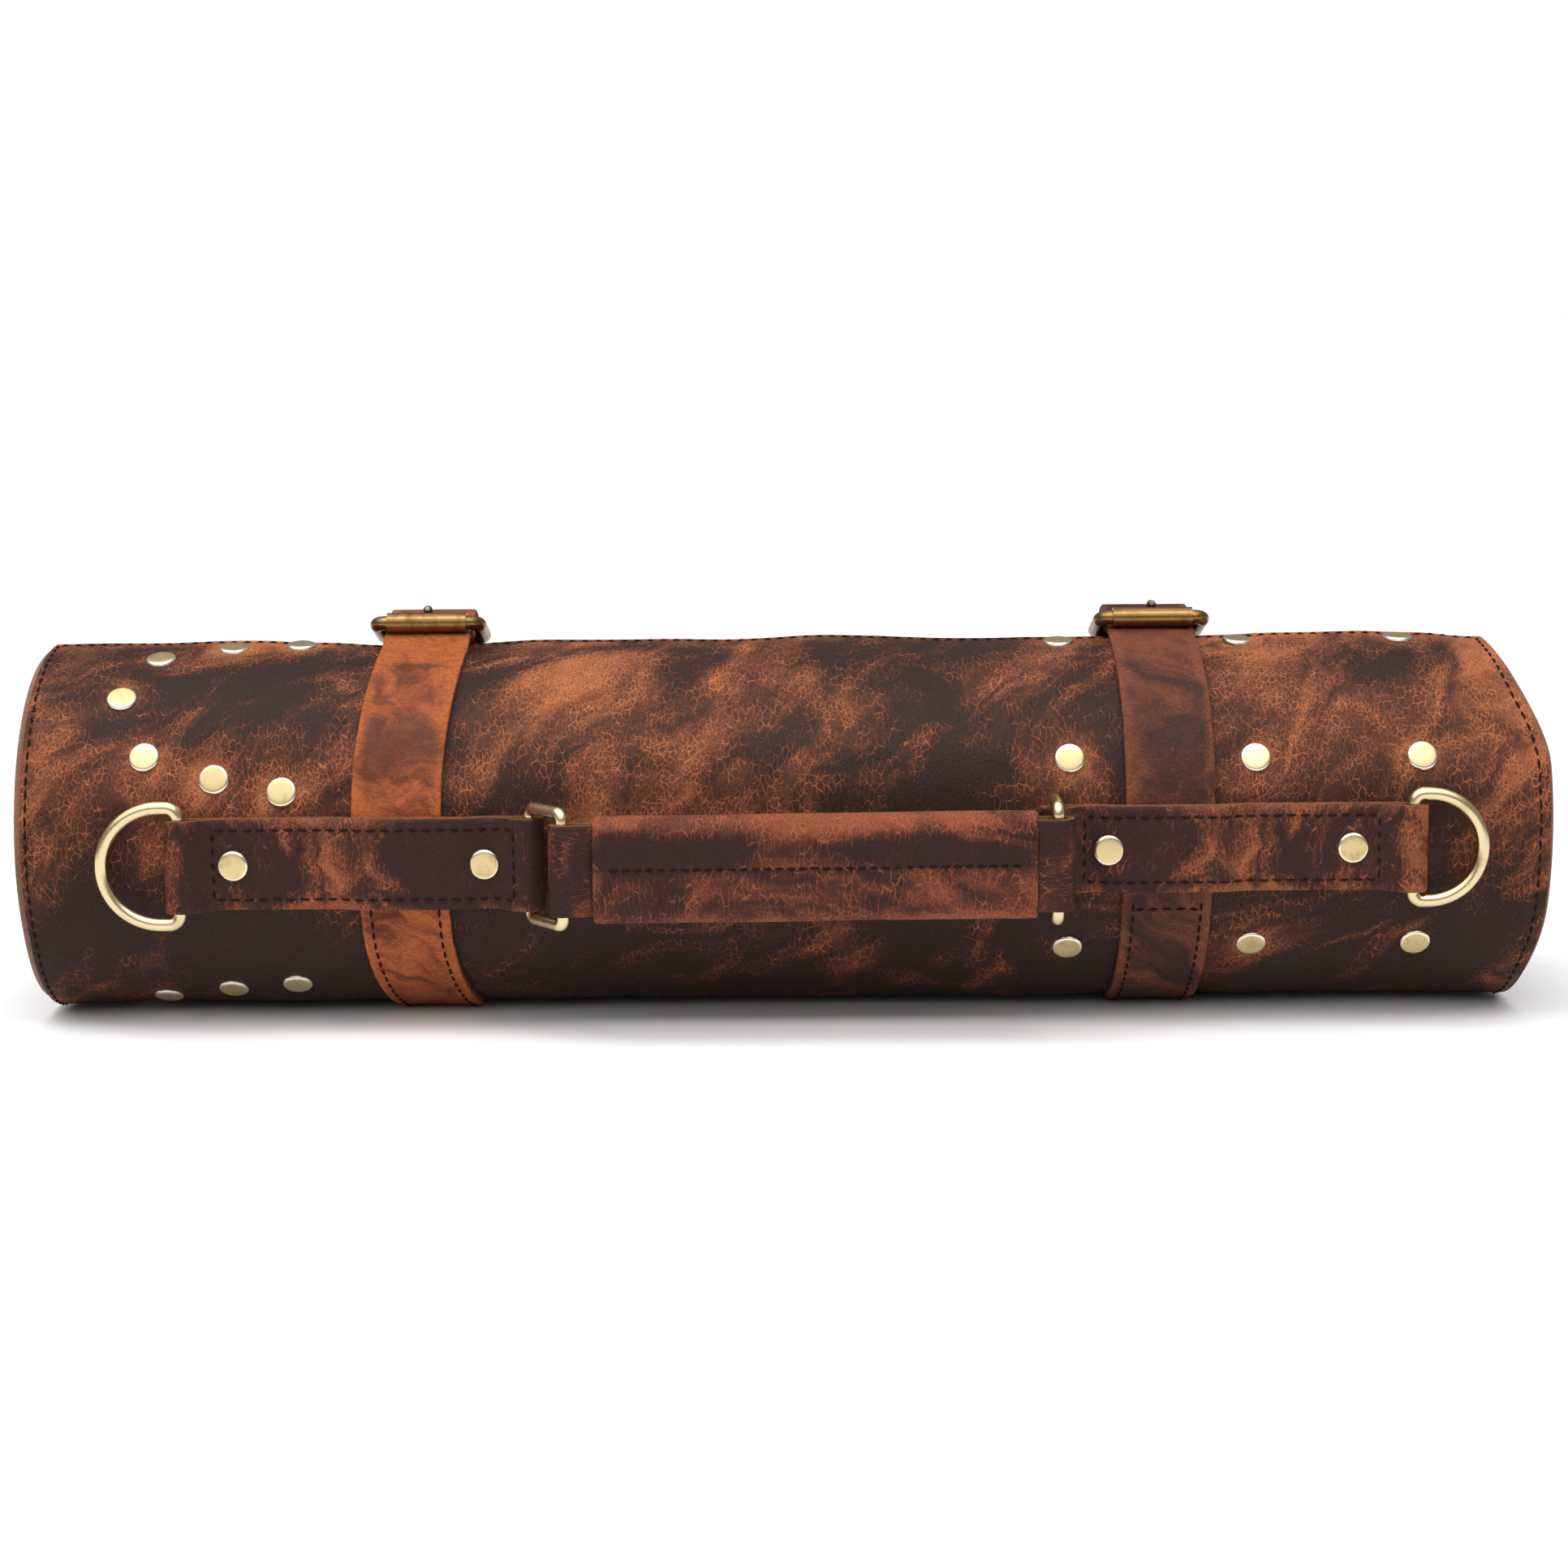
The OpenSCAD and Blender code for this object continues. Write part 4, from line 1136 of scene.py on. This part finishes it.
def handle_strap():
    """The strap's closed band: a loop round each ring bar and two layers between them."""
    width = 28 * MM
    left_r = 2.0 * MM + 0.12 * MM + STRAP / 2
    right_r = 2.0 * MM + 1.05 * MM + STRAP / 2
    path = []

    def run(u0, u1, side, count):
        for i in range(1, count):
            u = u0 + (u1 - u0) * i / count
            left = smooth(1 - u / (13 * MM))
            right = smooth(1 - (SPAN - u) / (14 * MM))
            rest = STRAP / 2 + 0.02 * MM
            out = rest + (left_r - rest) * left + (right_r - rest) * right
            path.append((u, side * out, 0, side))

    run(0, SPAN, 1, 50)
    arc(path, SPAN, 0, right_r, 80, -80, 10)
    run(SPAN, 0, -1, 50)
    arc(path, 0, 0, left_r, 260, 100, 10)
    # as with the base straps, the pattern's seam is on the hidden side
    path = path[85:] + path[:85]
    widths = spread(-width / 2, width / 2, 2.4 * MM)

    def at(i, w, out):
        u, h, nu, nh = path[i]
        reach = out * STRAP / 2
        if out > 0:
            reach += noise.noise(Vector((u * 60, w * 50, 8.8))) * 0.1 * MM
            reach -= rim(w, -width / 2, width / 2, 0.35 * MM)
        return in_handle(u + nu * reach, h + nh * reach, w)

    piece = slab("Handle_strap", range(len(path)), widths, at, [GRIP, FLESH, EDGE], closed=True)
    hand_in(piece, "handle", "handle_strap", "handle_leather")


handle_strap()


def grip_outline(t, inner):
    """Cross-section of the grip's wrap, t from 0 to 1 round it from the seam in front."""
    a = 360 * t
    fullness = 2 / 2.6
    out = (GRIP_D / 2 - inner) * math.copysign(abs(cosd(a)) ** fullness, cosd(a))
    z = (GRIP_H / 2 - inner) * math.copysign(abs(sind(a)) ** fullness, sind(a))
    return out, z


def grip():
    """The wrap: one piece of leather round the strap, its two edges lapped along the front."""
    ts = [i / 72 for i in range(72)]
    us = spread(0, GRIP_L, 2.6 * MM)

    def spot(t, u, side):
        out, z = grip_outline(t, 0.0 if side > 0 else WRAP)
        if side > 0 and out > 0:
            # a broad hollow along the front with the seam in it, between two full ribs
            hollow = 1.15 * bump_at(z, 1.2 * MM, 6 * MM) + 0.5 * bump_at(z, 0.2 * MM, 0.8 * MM)
            lip = 0.22 * bump_at(z, 1.6 * MM, 0.8 * MM)
            fade = smooth(min(u, GRIP_L - u) / (5 * MM))
            out -= (hollow * (0.55 + 0.45 * fade) - lip * fade) * MM
            out += noise.noise(Vector((u * 38, z * 75, 2.0))) * 0.3 * MM
            out += noise.noise(Vector((u * 190, z * 45, 6.0))) * 0.1 * MM
        if side > 0:
            drop = rim(u, 0, GRIP_L, 0.5 * MM, 1.0 * MM)
            out -= math.copysign(drop, out)
            z -= math.copysign(drop, z)
            z += noise.noise(Vector((u * 30, 5.5, math.copysign(3, z)))) * 0.25 * MM
        return in_handle(GRIP_START + u, out, z)

    def wear_and_shade(t, u):
        _, z = grip_outline(t, 0)
        # paler along the top edge, partly rubbed and partly a painted highlight where it faces up; a
        # little paler at the bottom edge and over the lower half; painted shade in a dark band just above
        # the seam
        rub = 0.15 * bump_at(z, 16 * MM, 5.5 * MM) + 0.09 * bump_at(z, -16 * MM, 3.5 * MM)
        rub += 0.05 * bump_at(z, -7 * MM, 6 * MM) - 0.09 * bump_at(z, 5.5 * MM, 4.5 * MM)
        rub += 0.07 * bump_at(u, 0.42 * GRIP_L, 22 * MM) + 0.05 * bump_at(u, 0.8 * GRIP_L, 8 * MM)
        return rub + 0.07 * bump_at(min(u, GRIP_L - u), 0, 3 * MM)

    piece = slab("Handle_grip", ts, us, spot, [GRIP, FLESH, EDGE], closed=True, wear_and_shade=wear_and_shade)
    hand_in(piece, "handle", "handle_grip", "handle_leather")

    def front(u, z):
        out, _ = grip_outline(0.0, 0.0)
        return in_handle(GRIP_START + u, out - 1.45 * MM, z), Vector((HANDLE_OUT.x, HANDLE_OUT.y, 0))

    sew(handle_seams, front, (4.5 * MM, 0.3 * MM), (GRIP_L - 4.5 * MM, 0.3 * MM), 40, pitch=3.6 * MM)


grip()


def grip_padding():
    """Two strips of felt between the strap and the wrap, full in the middle and thin at the rim."""
    thick = GRIP_D / 2 - WRAP - STRAP - 2 * LIE
    long, high = GRIP_L - 12 * MM, 22 * MM
    bm = bmesh.new()
    for side in (-1, 1):
        middle = side * (STRAP + LIE + thick / 2)
        rings = []
        for i in range(45):
            u = -long / 2 + long * i / 44
            near = min(1.0, (long / 2 - abs(u)) / (4 * MM) + 0.02)
            taper = math.sqrt(1 - (1 - near) ** 2)
            ring = []
            for k in range(28):
                a = 360 * k / 28
                z = high / 2 * math.copysign(abs(cosd(a)) ** 0.5, cosd(a)) * (0.9 + 0.1 * taper)
                out = thick / 2 * math.copysign(abs(sind(a)) ** 0.6, sind(a)) * taper
                out *= 0.93 + 0.07 * noise.noise(Vector((u * 90, z * 90, side)))
                ring.append(bm.verts.new(in_handle(SPAN / 2 + 1.6 * MM + u, middle + out, z)))
            rings.append(ring)
        join_rings(bm, rings)
    pads = new_object("Grip_padding", bm, [FILLER])
    hand_in(pads, "handle", "grip_padding", "grip_filler")


grip_padding()
piece = new_object("Grip_stitches", handle_seams, [THREAD], 60)
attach(piece, "handle")

# --- metal parts, as the CAD has them ------------------------------------------------------
METALS = {"d_ring": RING_BRASS, "handle_ring": RING_BRASS, "buckle_frame": BUCKLE_BRASS,
          "roller": BUCKLE_BRASS, "prong": PRONG_METAL}
for part, metal in METALS.items():
    for side in ("left_", "right_"):
        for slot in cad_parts[side + part].material_slots:
            slot.material = metal

# --- floor, light, camera ------------------------------------------------------------------
floor_paint = Paint("floor")
floor_grain = floor_paint.noise(floor_paint.seat, 3.0, 2.0)
floor_paint.finish(floor_paint.mix(floor_grain, (0.93, 0.93, 0.93), (0.95, 0.95, 0.95)), 0.95,
                   Specular_IOR_Level=0.0)
bm = bmesh.new()
bmesh.ops.create_grid(bm, x_segments=8, y_segments=8, size=40)
floor = new_object("Floor", bm, [floor_paint.material])
floor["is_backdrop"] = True


def studio_world():
    """White where the camera sees it; for light and reflections, grey below and paler overhead."""
    world = bpy.data.worlds.new("Studio")
    bpy.context.scene.world = world
    sky = Nodes(world)
    way = sky.node("TexCoord", {}).outputs["Generated"]
    climb = sky.node("MapRange", {"Value": sky.node("SeparateXYZ", {0: way}).outputs["Z"],
                                  "From Min": -0.1, "From Max": 0.95, "To Min": 0.2, "To Max": 0.62})
    room = sky.node("Background", {"Strength": climb.outputs["Result"]})
    plain = sky.node("Background", {"Color": (1, 1, 1, 1), "Strength": 1.0})
    seen = sky.node("LightPath", {}).outputs["Is Camera Ray"]
    both = sky.node("MixShader", {0: seen, 1: room.outputs[0], 2: plain.outputs[0]})
    sky.node("OutputWorld", {"Surface": both.outputs[0]})


studio_world()


def lamp(name, kind, place_at, aim, power):
    """A light at one point that shines toward another."""
    data = bpy.data.lights.new(name, kind)
    data.energy = power
    holder = bpy.data.objects.new(name, data)
    holder.location = place_at
    holder.rotation_euler = (Vector(aim) - Vector(place_at)).to_track_quat("-Z", "Y").to_euler()
    bpy.context.scene.collection.objects.link(holder)
    return data


key = lamp("Key", "AREA", (-0.15, -0.55, 1.35), (0, 0, 0.06), 11.0)
key.shape = "RECTANGLE"
key.size, key.size_y = 1.6, 0.6
sky = lamp("Sky", "SUN", (-0.3, -0.7, 2.0), (0, 0, 0), 2.3)
sky.angle = math.radians(100)

# a long lens a metre off, a little above the roll, with the slight tilt and roll of a hand
camera = bpy.data.cameras.new("Camera")
camera.sensor_width = 36
camera.lens = 70.0621
ELEVATION, DISTANCE = 9.5, 1.0
AIM_DOWN = 8.8143
ROLL = 0.45
forward = Vector((0, cosd(AIM_DOWN), -sind(AIM_DOWN)))
right = Vector((1, 0, 0))
up = right.cross(forward)
level_right = right * cosd(ROLL) - up * sind(ROLL)
level_up = up * cosd(ROLL) + right * sind(ROLL)
turn = Matrix((level_right, level_up, -forward)).transposed()
eye = Vector((0, AXIS_Y, AXIS_Z)) + Vector((0, -cosd(ELEVATION), sind(ELEVATION))) * DISTANCE
holder = bpy.data.objects.new("Camera", camera)
holder.matrix_world = Matrix.Translation(eye) @ turn.to_4x4()
bpy.context.scene.collection.objects.link(holder)
bpy.context.scene.camera = holder
bpy.context.scene.view_settings.view_transform = "Standard"

boxes = [[[float(c) for c in corner] for corner in box] for box in (CAD_BOX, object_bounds())]
